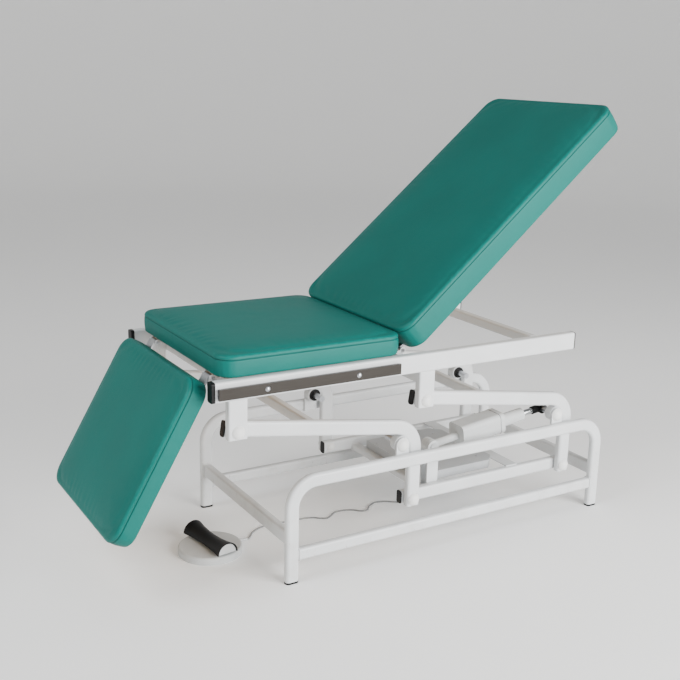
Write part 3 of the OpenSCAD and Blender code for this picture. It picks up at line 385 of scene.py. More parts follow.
@lru_cache(maxsize=None)
def material_of(finish: object) -> bpy.types.Material:
    """Builds each finish once, however many pieces wear it."""
    return finish.build()


COAT = PowderCoat()
SCUFFED_COAT = PowderCoat(scuffed=True)
BLACK = MouldedPlastic("black_plastic", (9, 9, 10), 0.46)
WHITE = MouldedPlastic("white_plastic", (226, 226, 224), 0.32, 0.00002)
GREY = MouldedPlastic("grey_plastic", (198, 200, 200), 0.48, 0.00006)
ZINC = BareMetal(Metal.ZINC)


# Surfaces


def link(made: bpy.types.Object) -> None:
    """Puts an object in the scene."""
    bpy.context.scene.collection.objects.link(made)


def unit(rows: np.ndarray) -> np.ndarray:
    """Vectors in rows, made 1 long."""
    return rows / np.linalg.norm(rows, axis=1, keepdims=True)


def round_turns(sides: int) -> np.ndarray:
    """Angles of points set evenly round a circle, in radians."""
    return np.arange(sides) * 2 * math.pi / sides


def quads_between(index: np.ndarray, around: bool = False) -> np.ndarray:
    """Faces between the neighbours in a grid of point numbers.

    Args:
        index: Point numbers in rows and columns.
        around: Whether the last column joins the first.

    Returns:
        Faces as rows of four point numbers.
    """
    if around:
        index = np.hstack([index, index[:, :1]])
    quads = [index[:-1, :-1], index[1:, :-1], index[1:, 1:], index[:-1, 1:]]
    return np.stack(quads, -1).reshape(-1, 4)


@dataclass(frozen=True)
class Place:
    """A frame of its own: a point, and a slope that raises its +X side, in degrees."""

    x: float = 0.0
    z: float = 0.0
    slope: float = 0.0

    def put(self, points: np.ndarray) -> np.ndarray:
        """Turns local points about Y by the slope and moves them to the point.

        The formula is x' = x cos a - z sin a and z' = x sin a + z cos a, plus the point.

        Args:
            points: Local points, their last axis x, y, z.

        Returns:
            The same points in the model's frame.
        """
        cos, sin = math.cos(math.radians(self.slope)), math.sin(math.radians(self.slope))
        x, y, z = points[..., 0], points[..., 1], points[..., 2]
        return np.stack([self.x + x * cos - z * sin, y, self.z + x * sin + z * cos], -1)


class Surface:
    """Grids of points that are gathered into one mesh."""

    def __init__(self) -> None:
        """Starts with no points."""
        self.points: list[np.ndarray] = []
        self.faces: list[np.ndarray] = []
        self.count = 0

    def grid(self, points: np.ndarray, ring: bool = False) -> "Surface":
        """Adds a grid of rows that are tubes or rings, its faces pointing outwards.

        Neighbouring points make quads. A tube that isn't a ring gets a flat cap at both ends.
        The signed volume, a sixth of the sum of p0 . (p1 x p2), says whether faces turn round.

        Args:
            points: Array of rows, columns and x, y, z.
            ring: Whether the rows close on themselves.

        Returns:
            This surface.
        """
        rows, columns = points.shape[:2]
        index = np.arange(rows * columns).reshape(rows, columns)
        down = np.roll(index, -1, 0) if ring else index[1:]
        up = index if ring else index[:-1]
        right_up, right_down = np.roll(up, -1, 1), np.roll(down, -1, 1)
        quads = np.stack([up, right_up, right_down, down], -1)
        quads = quads.reshape(-1, 4)
        flat = points.reshape(-1, 3)
        caps = [] if ring else [index[0][::-1], index[-1]]
        middle = flat.mean(0)
        solid = flat - middle
        fans = [quads[:, [0, 1, 2]], quads[:, [0, 2, 3]]]
        fans += [np.stack([np.full(len(c) - 2, c[0]), c[1:-1], c[2:]], -1) for c in caps]
        tri = np.concatenate(fans)
        first, second, third = (solid[tri[:, corner]] for corner in range(3))
        volume = np.einsum("ij,ij->", first, np.cross(second, third))
        turned = volume < 0
        self.points.append(flat)
        self.faces.append((quads[:, ::-1] if turned else quads) + self.count)
        self.faces += [(c[::-1] if turned else c)[None] + self.count for c in caps]
        self.count += len(flat)
        return self

    def piece(self, name: str, finish: object, body: str, slot: str) -> bpy.types.Object:
        """Makes one mesh object of what was added and lets it ride on a body.

        Args:
            name: Name of the piece.
            finish: Finish that the piece wears.
            body: Body that the piece moves with.
            slot: Material slot of the record; not used.

        Returns:
            The new object.
        """
        made = new_object(name, np.concatenate(self.points), self.faces)
        made.data.materials.append(material_of(finish))
        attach(made, body)
        LOG.info("%s: %d points on %s", name, self.count, body)
        return made


def new_object(name: str, points: np.ndarray, faces: list[np.ndarray]) -> bpy.types.Object:
    """Puts points and smooth faces into a mesh object with foreach_set.

    Args:
        name: Name of the object.
        points: Points as rows of x, y, z.
        faces: Arrays of faces; each array's faces have one number of corners.

    Returns:
        The new object, linked to the scene.
    """
    mesh = bpy.data.meshes.new(name)
    corners = np.concatenate([f.ravel() for f in faces]).astype(np.int32)
    totals = np.concatenate([np.full(len(f), f.shape[1]) for f in faces]).astype(np.int32)
    starts = np.concatenate([[0], np.cumsum(totals)[:-1]]).astype(np.int32)
    mesh.vertices.add(len(points))
    mesh.vertices.foreach_set("co", points.astype(np.float32).ravel())
    mesh.loops.add(len(corners))
    mesh.loops.foreach_set("vertex_index", corners)
    mesh.polygons.add(len(totals))
    mesh.polygons.foreach_set("loop_start", starts)
    mesh.polygons.foreach_set("loop_total", totals)
    mesh.polygons.foreach_set("use_smooth", np.full(len(totals), True))
    mesh.update(calc_edges=True)
    mesh.validate()
    made = bpy.data.objects.new(name, mesh)
    link(made)
    return made


def frames_along(path: np.ndarray, closed: bool, up: tuple) -> tuple[np.ndarray, np.ndarray]:
    """Two unit vectors across a path at each of its points.

    The direction is the difference of the neighbours. The first vector is the cross product
    of up and the direction, and the second the cross product of the direction and the first.

    Args:
        path: Points as rows of x, y, z.
        closed: Whether the last point joins the first.
        up: A vector that the path never runs along.

    Returns:
        The first and the second vector at each point.
    """
    if closed:
        step = np.roll(path, -1, 0) - np.roll(path, 1, 0)
    else:
        step = np.gradient(path, axis=0)
    step = unit(step)
    first = unit(np.cross(np.array(up, float), step))
    return first, np.cross(step, first)


def carry(
    path: np.ndarray, radius: np.ndarray, sides: int, closed: bool, up: tuple = (0, 0, 1),
) -> np.ndarray:
    """Carries a circle along a path: p + r (cos t a + sin t b), with a and b across the path.

    Args:
        path: Points as rows of x, y, z.
        radius: Radius at each point.
        sides: Number of points round the circle.
        closed: Whether the path is a ring.
        up: A vector that the path never runs along.

    Returns:
        A grid of the path's points by the circle's points.
    """
    first, second = frames_along(path, closed, up)
    turn = round_turns(sides)[None, :, None]
    circle = np.cos(turn) * first[:, None] + np.sin(turn) * second[:, None]
    return path[:, None] + np.broadcast_to(radius, len(path))[:, None, None] * circle


def resample(path: np.ndarray, step: float, closed: bool) -> np.ndarray:
    """Sets points along a path at even lengths of about step, by linear interpolation.

    Args:
        path: Points as rows of x, y, z.
        step: Distance wanted between the new points.
        closed: Whether the path is a ring.

    Returns:
        The new points.
    """
    line = np.vstack([path, path[:1]]) if closed else path
    length = np.concatenate([[0], np.cumsum(np.linalg.norm(np.diff(line, axis=0), axis=1))])
    number = max(4, round(length[-1] / step))
    along = np.linspace(0, length[-1], number, endpoint=not closed)
    return np.stack([np.interp(along, length, line[:, i]) for i in range(3)], -1)


def round_rectangle(width: float, height: float, radius: float, corner: int = 6) -> np.ndarray:
    """Points of a rectangle with round corners about the origin, counter-clockwise.

    Each corner is a centre plus r (cos t, sin t), over a quarter turn.

    Args:
        width: Size along the first axis.
        height: Size along the second axis.
        radius: Radius of the corners.
        corner: Steps in each corner.

    Returns:
        Points as rows of two numbers.
    """
    quarter = np.repeat(np.arange(4), corner + 1)
    turn = (quarter + np.tile(np.linspace(0, 1, corner + 1), 4)) * math.pi / 2
    across = np.where((quarter == 0) | (quarter == 3), 1, -1) * (width / 2 - radius)
    along = np.where(quarter < 2, 1, -1) * (height / 2 - radius)
    return np.stack([across + radius * np.cos(turn), along + radius * np.sin(turn)], -1)


def weld_bead(path: np.ndarray, closed: bool, radius: float = 2.3 * MM) -> np.ndarray:
    """A welded bead: a circle carried along the joint.

    Its radius is r (1 + 0.13 |sin(pi s / BEAD_RIPPLE)|) at a distance s along it.

    Args:
        path: Points of the joint's line as rows of x, y, z.
        closed: Whether the joint goes all the way round.
        radius: Radius of the bead between its ripples.

    Returns:
        A grid of points for Surface.grid.
    """
    line = resample(path, BEAD_STEP, closed)
    order = np.arange(len(line))
    ripple = np.abs(np.sin(order * BEAD_STEP / BEAD_RIPPLE * math.pi))
    spread = line.max(0) - line.min(0)
    up = np.eye(3)[int(np.argmin(spread))]
    if closed:
        ends = np.ones(len(line))
    else:
        ends = np.clip(np.minimum(order, order[::-1]) / 3 + 0.2, 0, 1)
    return carry(line, radius * (1 + 0.13 * ripple) * ends, 6, closed, tuple(up))


# Camera and studio


@dataclass(frozen=True)
class PhotoCamera:
    """A camera at the photograph's viewing angle."""

    where: tuple = (-1.8066, -2.6493, 1.4056)
    yaw: float = -33.04
    pitch: float = 14.42
    roll: float = 1.91
    lens: float = 54.609
    shift: tuple = (-0.0675, -0.0054)

    def build(self) -> bpy.types.Object:
        """Makes the camera and gives it to the scene.

        Its axes are right = (cos y, sin y, 0), forward = (-sin y cos p, cos y cos p, -sin p) and
        up = right x forward, turned about forward by the roll.
        """
        yaw, pitch, roll = (math.radians(v) for v in (self.yaw, self.pitch, self.roll))
        level = math.cos(pitch)
        forward = Vector((-math.sin(yaw) * level, math.cos(yaw) * level, -math.sin(pitch)))
        right = Vector((math.cos(yaw), math.sin(yaw), 0))
        up = right.cross(forward)
        turned_right = math.cos(roll) * right + math.sin(roll) * up
        turned_up = math.cos(roll) * up - math.sin(roll) * right
        data = bpy.data.cameras.new("photo_camera")
        data.lens = self.lens
        data.sensor_width = 36
        data.shift_x, data.shift_y = self.shift
        data.clip_end = 60
        made = bpy.data.objects.new("photo_camera", data)
        axes = Matrix((turned_right, turned_up, -forward)).transposed().to_4x4()
        made.matrix_world = Matrix.Translation(self.where) @ axes
        link(made)
        bpy.context.scene.camera = made
        LOG.info("camera ready")
        return made


@dataclass(frozen=True)
class SoftBox:
    """One large soft light."""

    name: str
    where: tuple
    size: tuple
    power: float
    aim: tuple = (-0.3, 0.0, 0.5)

    def build(self) -> None:
        """Adds the light and points it at its aim."""
        data = bpy.data.lights.new(self.name, "AREA")
        data.shape = "RECTANGLE"
        data.size, data.size_y = self.size
        data.energy = self.power
        made = bpy.data.objects.new(self.name, data)
        toward = Vector(self.aim) - Vector(self.where)
        turned = toward.to_track_quat("-Z", "Y").to_matrix().to_4x4()
        made.matrix_world = Matrix.Translation(self.where) @ turned
        link(made)


@dataclass
class Studio:
    """A pale floor that curves up far away on all sides, and soft lights."""

    flat_radius: float = 9.0
    bend: float = 3.0
    wall: float = 6.0
    sides: int = 96
    glow: float = 0.16
    surroundings: float = 0.3
    lights: tuple = (
        SoftBox("key", (1.3, -4.3, 1.7), (3.4, 2.2), 470),
        SoftBox("left_fill", (-3.6, -0.3, 3.4), (2.2, 2.2), 110),
        SoftBox("top", (0.4, 0.6, 4.6), (3.0, 3.0), 20),
    )

    def build(self) -> None:
        """Makes the floor, the lights and the pale surroundings.

        The floor's outline is a level line, then a quarter circle, and is turned about Z.
        """
        turn = np.linspace(0, math.pi / 2, 25)
        flat = np.linspace(0.02, self.flat_radius, 30)
        wall = np.linspace(self.bend, self.wall, 9)[1:]
        edge = self.flat_radius + self.bend
        bent = self.flat_radius + self.bend * np.sin(turn)[1:]
        radius = np.concatenate([flat, bent, 0 * wall + edge])
        height = np.concatenate([0 * flat, self.bend * (1 - np.cos(turn))[1:], wall])
        round_ = np.linspace(0, 2 * math.pi, self.sides, endpoint=False)
        grid = np.stack([
            radius[:, None] * np.cos(round_), radius[:, None] * np.sin(round_),
            np.broadcast_to(height[:, None], (len(radius), self.sides)),
        ], -1)
        index = np.arange(len(radius) * self.sides).reshape(-1, self.sides)
        faces = [quads_between(index, True), index[:1]]
        floor = new_object("studio_floor", grid.reshape(-1, 3), faces)
        g = Graph("studio_floor")
        grain = g.noise(g.place(), 3, 3)
        floor.data.materials.append(g.finish(
            Base_Color=g.mix(grain, shade(240, 240, 239), shade(246, 246, 245)), Roughness=0.85,
            Emission_Color=shade(255, 255, 255), Emission_Strength=self.glow,
        ))
        for light in self.lights:
            light.build()
        world = bpy.data.worlds.new("studio")
        world.use_nodes = True
        back = world.node_tree.nodes["Background"]
        back.inputs["Color"].default_value = (1.0, 1.0, 1.0, 1.0)
        back.inputs["Strength"].default_value = self.surroundings
        bpy.context.scene.world = world
        LOG.info("studio ready")


# The couch's own pieces

FRONT_PIVOT = (-0.19706, 0.343)
REAR_PIVOT = (0.40297, 0.343)
ARM = (-0.535, 0.132)
ARM_OVER_PIVOT = 0.05
ARM_SLOPE = math.degrees(math.atan2(ARM[1] - ARM_OVER_PIVOT, -ARM[0]))
BACKREST_ANGLE = 40.5
LEGREST_ANGLE = 60.6
ACTUATOR_SLOPE = math.degrees(math.atan2(55, 443.03))

# Places of the welded joints, mirrored by side or end, and the faces of the tubes there
SQUARE_FACE = (0.03, 0.03)
CROSS_TUBE, CROSS_FACE = (0.57, 0.2875, 0.1305), (0.025, 0.041)
LOWER_RAIL, LOWER_FACE, LOWER_CORNER = (0.55, 0.3, 0.0845), (0.025, 0.035), 0.008
LUG_Y = 0.287
LUG_LINE = ((-0.0222, 0.306), (-0.0222, 0.2805), (0.0222, 0.2805), (0.0222, 0.306))
BRACKET_Z = 0.5678
BRACKET_HALF = ((0.0245, 0.3055), (0.0275, 0.304), (0.0275, 0.2885))
UPPER_CROSS_X, UPPER_CROSS_Y, UPPER_CROSS_Z = (-0.73006, -0.22006), 0.2868, 0.598
HEAD_BAR_X = 0.27694
HEAD_BAR_HALF = ((0.011, 0.5923), (0.0157, 0.597), (0.0157, 0.618))
BRACE_Y, BRACE_Z, BRACE_FACE = 0.2798, 0.539, (0.025, 0.038)
TIE_CROSS, TIE_FACE = (-0.04606, 0.2258, 0.142), (0.03, 0.022)
CRANK_CROSS_REACH, CRANK_CROSS_Y = 0.48 * 510.0 * MM, 0.2528


def both_halves(half: tuple) -> list[tuple[float, float]]:
    """A line's mirror image about its first coordinate's zero, then the line itself."""
    return [(-a, b) for a, b in half[::-1]] + list(half)


@dataclass
class PedalCable:
    """The thin cable from the foot switch over the floor to the control unit."""

    diameter: float = 5 * MM
    exit: tuple = (-588, -2.5, 9)
    gland: tuple = (29.94, 0, 106)
    shares: tuple = (
        (0, -2.5, 9), (0.0227, -2, 8), (0.0453, 4, 4.5), (0.068, 18, 3), (0.1019, 42, 3),
        (0.1634, 62, 3), (0.2395, 63, 3), (0.3123, 60, 3), (0.3738, 57, 3), (0.4175, 55, 3),
        (0.4531, 46, 3), (0.4822, 30, 3), (0.5113, 22, 3), (0.5469, 34, 3), (0.5858, 50, 3),
        (0.6311, 50, 3), (0.6764, 40, 3), (0.7152, 18, 3), (0.7508, 16, 3), (0.7896, 40, 3),
        (0.8382, 54, 3), (0.89, 47, 3), (0.9385, 26, 3),
    )

    def route(self) -> np.ndarray:
        """The route's points in metres, as the CAD source has them."""
        floor = np.array(self.shares, float)
        run = self.gland[0] - self.exit[0]
        floor[:, 0] = self.exit[0] + run * floor[:, 0]
        x, y, z = self.gland
        rise = np.array([[x - 16, y + 8, 6], [x - 3, y + 1, 26], [x, y, z - 46], [x, y, z]])
        return np.vstack([floor, rise]) * MM

    def smooth(self, steps: int = 40) -> np.ndarray:
        """The smooth curve through the route.

        Between points p1 and p2 it is p1 + (p2 - p0) u / 2 + (2 p0 - 5 p1 + 4 p2 - p3) u u / 2
        + (3 p1 - p0 - 3 p2 + p3) u u u / 2.
        """
        route = self.route()
        p0 = np.vstack([route[:1], route[:-2]])[:, None]
        p1, p2 = route[:-1][:, None], route[1:][:, None]
        p3 = np.vstack([route[2:], route[-1:]])[:, None]
        u = np.linspace(0, 1, steps, endpoint=False)[None, :, None]
        line = p1 + (p2 - p0) * u / 2 + (2 * p0 - 5 * p1 + 4 * p2 - p3) * u ** 2 / 2
        line = line + (3 * p1 - p0 - 3 * p2 + p3) * u ** 3 / 2
        return np.vstack([line.reshape(-1, 3), route[-1:]])

    def build(self) -> None:
        """Makes the cable as one curve, and the ribbed sleeve where it leaves the switch."""
        route = self.route()
        curve = bpy.data.curves.new("pedal_cable_line", "CURVE")
        curve.dimensions = "3D"
        curve.bevel_depth = self.diameter / 2
        curve.bevel_resolution = 4
        curve.resolution_u = 14
        curve.use_fill_caps = True
        spline = curve.splines.new("BEZIER")
        spline.bezier_points.add(len(route) - 1)
        reach = np.zeros_like(route)
        reach[1:-1] = (route[2:] - route[:-2]) / 6
        reach[0], reach[-1] = (route[1] - route[0]) / 6, (route[-1] - route[-2]) / 6
        places = {"co": route, "handle_left": route - reach, "handle_right": route + reach}
        for key, value in places.items():
            spline.bezier_points.foreach_set(key, value.astype(np.float32).ravel())
        made = bpy.data.objects.new("pedal_cable_line", curve)
        link(made)
        made.data.materials.append(material_of(Jacket()))
        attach(made, "base")
        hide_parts("pedal_cable")
        line = self.smooth()
        sleeve = self.sleeve(line)

    def sleeve(self, line: np.ndarray) -> bpy.types.Object:
        """The tapered, ribbed sleeve over the cable's first 24 mm.

        Its radius falls from 4.9 mm to 3.0 mm, plus ribs of 0.35 mm sin(2 pi s / 3 mm).
        """
        path = resample(line, 0.5 * MM, False)[:49]
        along = np.arange(49) / 48
        ribs = 0.35 * MM * np.sin(along * 24 / 3 * 2 * math.pi) * (along < 0.92)
        tube = carry(path, (4.9 - 1.9 * along) * MM + ribs, 20, False)
        return Surface().grid(tube).piece("cable_sleeve", GREY, "base", "grey_plastic")


@dataclass
class Cushion:
    """An upholstered section: a crowned top, a seam, a side band and a hem round its board."""

    name: str
    body: str
    node: str
    place: Place
    middle: float
    under: float
    length: float
    width: float
    thick: float
    seed: int
    wrapped: bool = True
    corner: float = 48 * MM
    shoulder: float = 12 * MM
    crown: float = 6 * MM
    spacing: float = 6 * MM
    seam_drop: float = 13 * MM
    pocket: float = 8.7 * MM
    board: float = 12.3 * MM
    cloth_spacing: float = 13 * MM
    slack: float = -0.006
    cap: float = 5 * MM
    frames: int = 20
    cloth_mass: float = 0.4
    pressure: float = 4
    crown_start: float = 8 * MM
    crown_reach: float = 202 * MM
    crown_power: float = 3.4
    hem_top: float = 9 * MM
    stitch_rise: float = 3.4 * MM
    stitch_pitch: float = 5.2 * MM
    stitch_half: float = 1.9 * MM
    thread_r: float = 0.42 * MM
    staple_pitch: float = 38 * MM
    staple_half: float = 5.5 * MM
    staple_rise: float = 1.2 * MM
    wire_r: float = 0.45 * MM

    def __post_init__(self) -> None:
        """Works out the top's grid and the outline that its edge follows."""
        self.random = np.random.default_rng(self.seed)
        self.edge_z = self.thick - self.crown
        self.top = self._top_grid(self.spacing)
        self.loop = self._loop()
        flat = self.top.reshape(-1, 3)[self.loop]
        self.rim = flat
        self.out = self._outward()
        step = np.linalg.norm(np.roll(flat, -1, 0) - flat, axis=1)
        self.along = np.concatenate([[0], np.cumsum(step)[:-1]])
        self.round_length = float(step.sum())
        self.waves = self._waves()

    def _lines(self, spacing: float) -> list[np.ndarray]:
        """Places of the grid's lines along and across, closer together in the corners.

        Args:
            spacing: Distance wanted between the lines.

        Returns:
            The places along and the places across, from -half to half.
        """
        lines = []
        for half in (self.length / 2 - self.shoulder, self.width / 2 - self.shoulder):
            inner = half - (self.corner - self.shoulder)
            straight = np.linspace(-inner, inner, round(2 * inner / spacing) + 1)
            corner = np.linspace(inner, half, 9)[1:]
            lines.append(np.concatenate([-corner[::-1], straight, corner]))
        return lines

    def _squares(self, spacing: float) -> tuple:
        """The grid's lines, and how far each point is into a corner square, from 0 to 1."""
        a, b = self.length / 2 - self.shoulder, self.width / 2 - self.shoulder
        c = self.corner - self.shoulder
        x, y = np.meshgrid(*self._lines(spacing), indexing="ij")
        u, v = np.clip((abs(x) - a + c) / c, 0, 1), np.clip((abs(y) - b + c) / c, 0, 1)
        return x, y, u, v, a - c, b - c

    def _top_grid(self, spacing: float) -> np.ndarray:
        """The top sheet inside its rounded shoulder.

        Corner squares turn into quarter discs by (u sqrt(1 - v v / 2), v sqrt(1 - u u / 2)).
        The crown at d inside the outline is h (1 - (1 - (d - 8 mm) / 202 mm) ** 3.4).
        """
        x, y, u, v, a, b = self._squares(spacing)
        c = self.corner - self.shoulder
        px = np.sign(x) * (np.minimum(abs(x), a) + c * u * np.sqrt(1 - v ** 2 / 2))
        py = np.sign(y) * (np.minimum(abs(y), b) + c * v * np.sqrt(1 - u ** 2 / 2))
        qx, qy = abs(px) - a, abs(py) - b
        outside = np.hypot(np.maximum(qx, 0), np.maximum(qy, 0)) + np.minimum(np.maximum(qx, qy), 0)
        inside = self.corner - outside
        share = np.clip((inside - self.crown_start) / self.crown_reach, 0, 1)
        rise = 1 - (1 - share) ** self.crown_power
        return np.stack([px, py, self.edge_z + self.crown * rise], -1)

    def _loop(self) -> np.ndarray:
        """Numbers of the top grid's outer points, counter-clockwise from above."""
        index = np.arange(self.top.shape[0] * self.top.shape[1]).reshape(self.top.shape[:2])
        return np.concatenate([index[:-1, 0], index[-1, :-1], index[:0:-1, -1], index[0, :0:-1]])

    def _outward(self) -> np.ndarray:
        """Unit vectors that point outwards at each point of the loop."""
        x, y, u, v, _, _ = self._squares(self.spacing)
        across, along = u * np.sqrt(1 - v ** 2 / 2), v * np.sqrt(1 - u ** 2 / 2)
        out = np.stack([np.sign(x) * across, np.sign(y) * along], -1)
        return out.reshape(-1, 2)[self.loop]

    def _waves(self) -> np.ndarray:
        """Small puckers round the outline: a sum of sines with seeded phases, about -1 to 1."""
        turns = np.array([0.055, 0.041, 0.031, 0.024])
        counts = np.round(self.round_length / turns)
        phase = self.random.uniform(0, 2 * math.pi, 4)
        strength = self.random.uniform(0.2, 0.4, 4)
        angle = 2 * math.pi * self.along[:, None] / self.round_length * counts + phase
        slow = 0.6 + 0.4 * np.sin(2 * math.pi * self.along / self.round_length * 7 + phase[0])
        return (strength * np.sin(angle)).sum(1) * slow

    def _folds(self) -> np.ndarray:
        """Upright folds where the band turns the corners, from 0 to 1."""
        bend = np.abs(self.out).min(1) / math.sqrt(0.5)
        return bend * np.sin(2 * math.pi * self.along / (14 * MM) + self.seed)

    def ring(self, inset: float, z: float, pucker: float = 0.0, fold: float = 0.0) -> np.ndarray:
        """One ring of the cushion's side in its own frame.

        It is the rim's points moved outwards by shoulder - inset, plus the puckers and folds.

        Args:
            inset: Distance inside the cushion's outline.
            z: Height above the underside.
            pucker: Size of the puckers, outwards.
            fold: Size of the corner folds, outwards.

        Returns:
            Points as rows of x, y, z.
        """
        move = self.shoulder - inset + pucker * self.waves + fold * self._folds()
        flat = self.rim[:, :2] + self.out * move[:, None]
        return np.column_stack([flat, np.full(len(self.rim), z)])

    def profile(self) -> list[tuple[float, float, float, float, float, float]]:
        """Rings from the shoulder down to the board's pocket.

        Each is an inset, a height, the size of its puckers and of its folds, and its share of
        painted seam shade and of edge wear.
        """
        rings = []
        low, high = self.edge_z - self.hem_top, self.rim[:, 2].mean()
        for turn in np.linspace(0, 1, 7)[1:]:
            angle = turn * math.pi / 2
            inset = self.shoulder * (1 - math.sin(angle))
            height = low + (high - low) * math.cos(angle)
            edge = math.sin(2 * angle) ** 2
            rings.append((inset, height, 0.25 * MM * turn, 0.1 * MM * turn, 0.0, edge))
        seam = self.edge_z - self.seam_drop
        # Rise, inset and share of painted shade for each ring of the seam groove.
        for rise, inset, dark in (
            (2.6, -0.35, 0.0), (1.5, 0.1, 0.25), (0.7, 1.2, 0.8), (0.0, 2.3, 1.0),
            (-0.7, 1.2, 0.8), (-1.5, 0.1, 0.25), (-3.0, -0.4, 0.0),
        ):
            rings.append((inset * MM, seam + rise * MM, 0.35 * MM, 0.15 * MM, dark, 0.15))
        top, bottom = seam - 3 * MM, self.hem_top
        for share in np.linspace(0, 1, 9)[1:]:
            swell = math.sin(math.pi * share)
            rings.append((-(0.4 * (1 - share) + 1.0 * swell) * MM, top + (bottom - top) * share,
                          0.35 * MM * (1 - share), (0.15 + 0.45 * swell) * MM, 0.0, 0.0))
        for inset, z in ((0.4, 5), (1.4, 2.2), (3.0, 0.6), (5.0, 0.0), (8.7, 0.0), (8.7, 6.0)):
            rings.append((inset * MM, z * MM, 0.0, 0.0, 0.0, 0.0))
        rings.append((self.pocket, self.board, 0.0, 0.0, 0.0, 0.0))
        return rings

    def build(self) -> None:
        """Makes the cushion, its stitches and what is under its board."""
        self.inflate()
        rings = self.profile()
        stack = [self.ring(*r[:4]) for r in rings]
        sheet = self.top.reshape(-1, 3)
        points = np.vstack([sheet, *stack])
        rows, columns = self.top.shape[:2]
        index = np.arange(rows * columns).reshape(rows, columns)
        count = len(self.loop)
        below = rows * columns + np.arange(len(rings) * count).reshape(-1, count)
        rims = np.vstack([self.loop, below])
        faces = [quads_between(index), quads_between(rims, True), rims[-1][::-1][None]]
        made = new_object(self.name, points, faces)
        # seam holds the painted shade of the seam groove, and edge the wear on the shoulder.
        for name, part in (("seam", 4), ("edge", 5)):
            on_rings = np.repeat([r[part] for r in rings], count)
            self.keep(made, name, np.concatenate([np.zeros(len(sheet)), on_rings]))
        self.settle(made)
        made.data.materials.append(material_of(Vinyl()))
        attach(made, self.body)
        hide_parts(self.node)
        LOG.info("%s: %d points", self.name, len(points))
        self.stitches()
        if self.wrapped:
            self.wrap()

    def keep(self, made: bpy.types.Object, name: str, values: np.ndarray) -> None:
        """Keeps one number for each point on the mesh, for the finish to read."""
        layer = made.data.attributes.new(name, "FLOAT", "POINT")
        layer.data.foreach_set("value", values.astype(np.float32))

    def settle(self, made: bpy.types.Object) -> None:
        """Moves the mesh from the section's own frame to the model's."""
        flat = np.empty(len(made.data.vertices) * 3, np.float32)
        made.data.vertices.foreach_get("co", flat)
        seated = self.seat(flat.reshape(-1, 3)).astype(np.float32)
        made.data.vertices.foreach_set("co", seated.ravel())
        made.data.update()

    def seat(self, points: np.ndarray) -> np.ndarray:
        """Places points of the cushion's own frame on its section."""
        return self.place.put(points + np.array([self.middle, 0, self.under]))

    def inflate(self) -> None:
        """Presses the top of the cover outwards with Cloth, held all round at the shoulder.

        The cloth is a coarser sheet. A move of length d becomes cap tanh(d / cap), and each
        point of the top takes its moves weighted by exp(-(distance / spacing) ** 2 * 2.5).
        """
        scene = bpy.context.scene
        sheet = self._top_grid(self.cloth_spacing)
        rows, columns = sheet.shape[:2]
        index = np.arange(rows * columns).reshape(rows, columns)
        made = new_object("cover", sheet.reshape(-1, 3), [quads_between(index)])
        border = np.unique(np.concatenate([index[0], index[-1], index[:, 0], index[:, -1]]))
        made.vertex_groups.new(name="held").add(border.tolist(), 1.0, "REPLACE")
        cloth = made.modifiers.new("cover", "CLOTH")
        settings = cloth.settings
        settings.quality = 5
        settings.mass = self.cloth_mass
        settings.tension_stiffness = settings.compression_stiffness = 30
        settings.shear_stiffness = 12
        settings.bending_stiffness = 1.5
        settings.vertex_group_mass = "held"
        settings.use_pressure = True
        settings.uniform_pressure_force = self.pressure
        settings.shrink_min = self.slack
        settings.effector_weights.gravity = 0
        cloth.collision_settings.use_collision = False
        cloth.point_cache.frame_start, cloth.point_cache.frame_end = 1, self.frames
        for number in range(1, self.frames + 1):
            scene.frame_set(number)
        shaped = made.evaluated_get(bpy.context.evaluated_depsgraph_get())
        after = np.empty(sheet.size, np.float32)
        shaped.data.vertices.foreach_get("co", after)
        bpy.data.objects.remove(made)
        scene.frame_set(1)
        move = after.reshape(sheet.shape) - sheet
        far = np.maximum(np.linalg.norm(move, axis=-1, keepdims=True), 1e-9)
        move = move * (self.cap * np.tanh(far / self.cap) / far)
        near = []
        for fine, coarse in zip(self._lines(self.spacing), self._lines(self.cloth_spacing)):
            weight = np.exp(-(((fine[:, None] - coarse) / self.cloth_spacing) ** 2) * 2.5)
            near.append(weight / weight.sum(1, keepdims=True))
        fade = np.minimum.outer(*(
            np.minimum(1, np.arange(n) * np.arange(n)[::-1] / (3 * n)) for n in self.top.shape[:2]
        ))
        self.top += np.einsum("ai,bj,ijk->abk", near[0], near[1], move) * fade[..., None]
        most = float(np.linalg.norm(move, axis=-1).max()) / MM
        LOG.info("%s: cover moved by %.1f mm at most", self.name, most)

    def stitches(self) -> None:
        """A row of stitches just above the seam.

        Each is a short capsule of five rings: its radius is r sqrt(1 - t t), t from -1 to 1.
        """
        seam = self.edge_z - self.seam_drop
        ring = self.ring(-0.2 * MM, seam + self.stitch_rise, 0.35 * MM, 0.15 * MM)
        line = resample(ring, self.stitch_pitch, True)
        toward = unit(np.roll(line, -1, 0) - np.roll(line, 1, 0))
        side = np.cross(toward, [0, 0, 1.0])
        t = np.array([-1, -0.75, 0, 0.75, 1])
        turn = round_turns(6)[None, None, :, None]
        radius = self.thread_r * np.sqrt(np.maximum(1 - t ** 2, 0.02))
        middle = line[:, None] + toward[:, None] * (t * self.stitch_half)[None, :, None]
        circle = np.cos(turn) * side[:, None, None] + np.sin(turn) * np.array([0, 0, 1.0])
        grids = self.seat(middle[:, :, None] + radius[None, :, None, None] * circle)
        rows = Surface()
        for grid in grids:
            rows.grid(grid)
        rows.piece(f"{self.name}_stitches", Thread(), self.body, "upholstery")

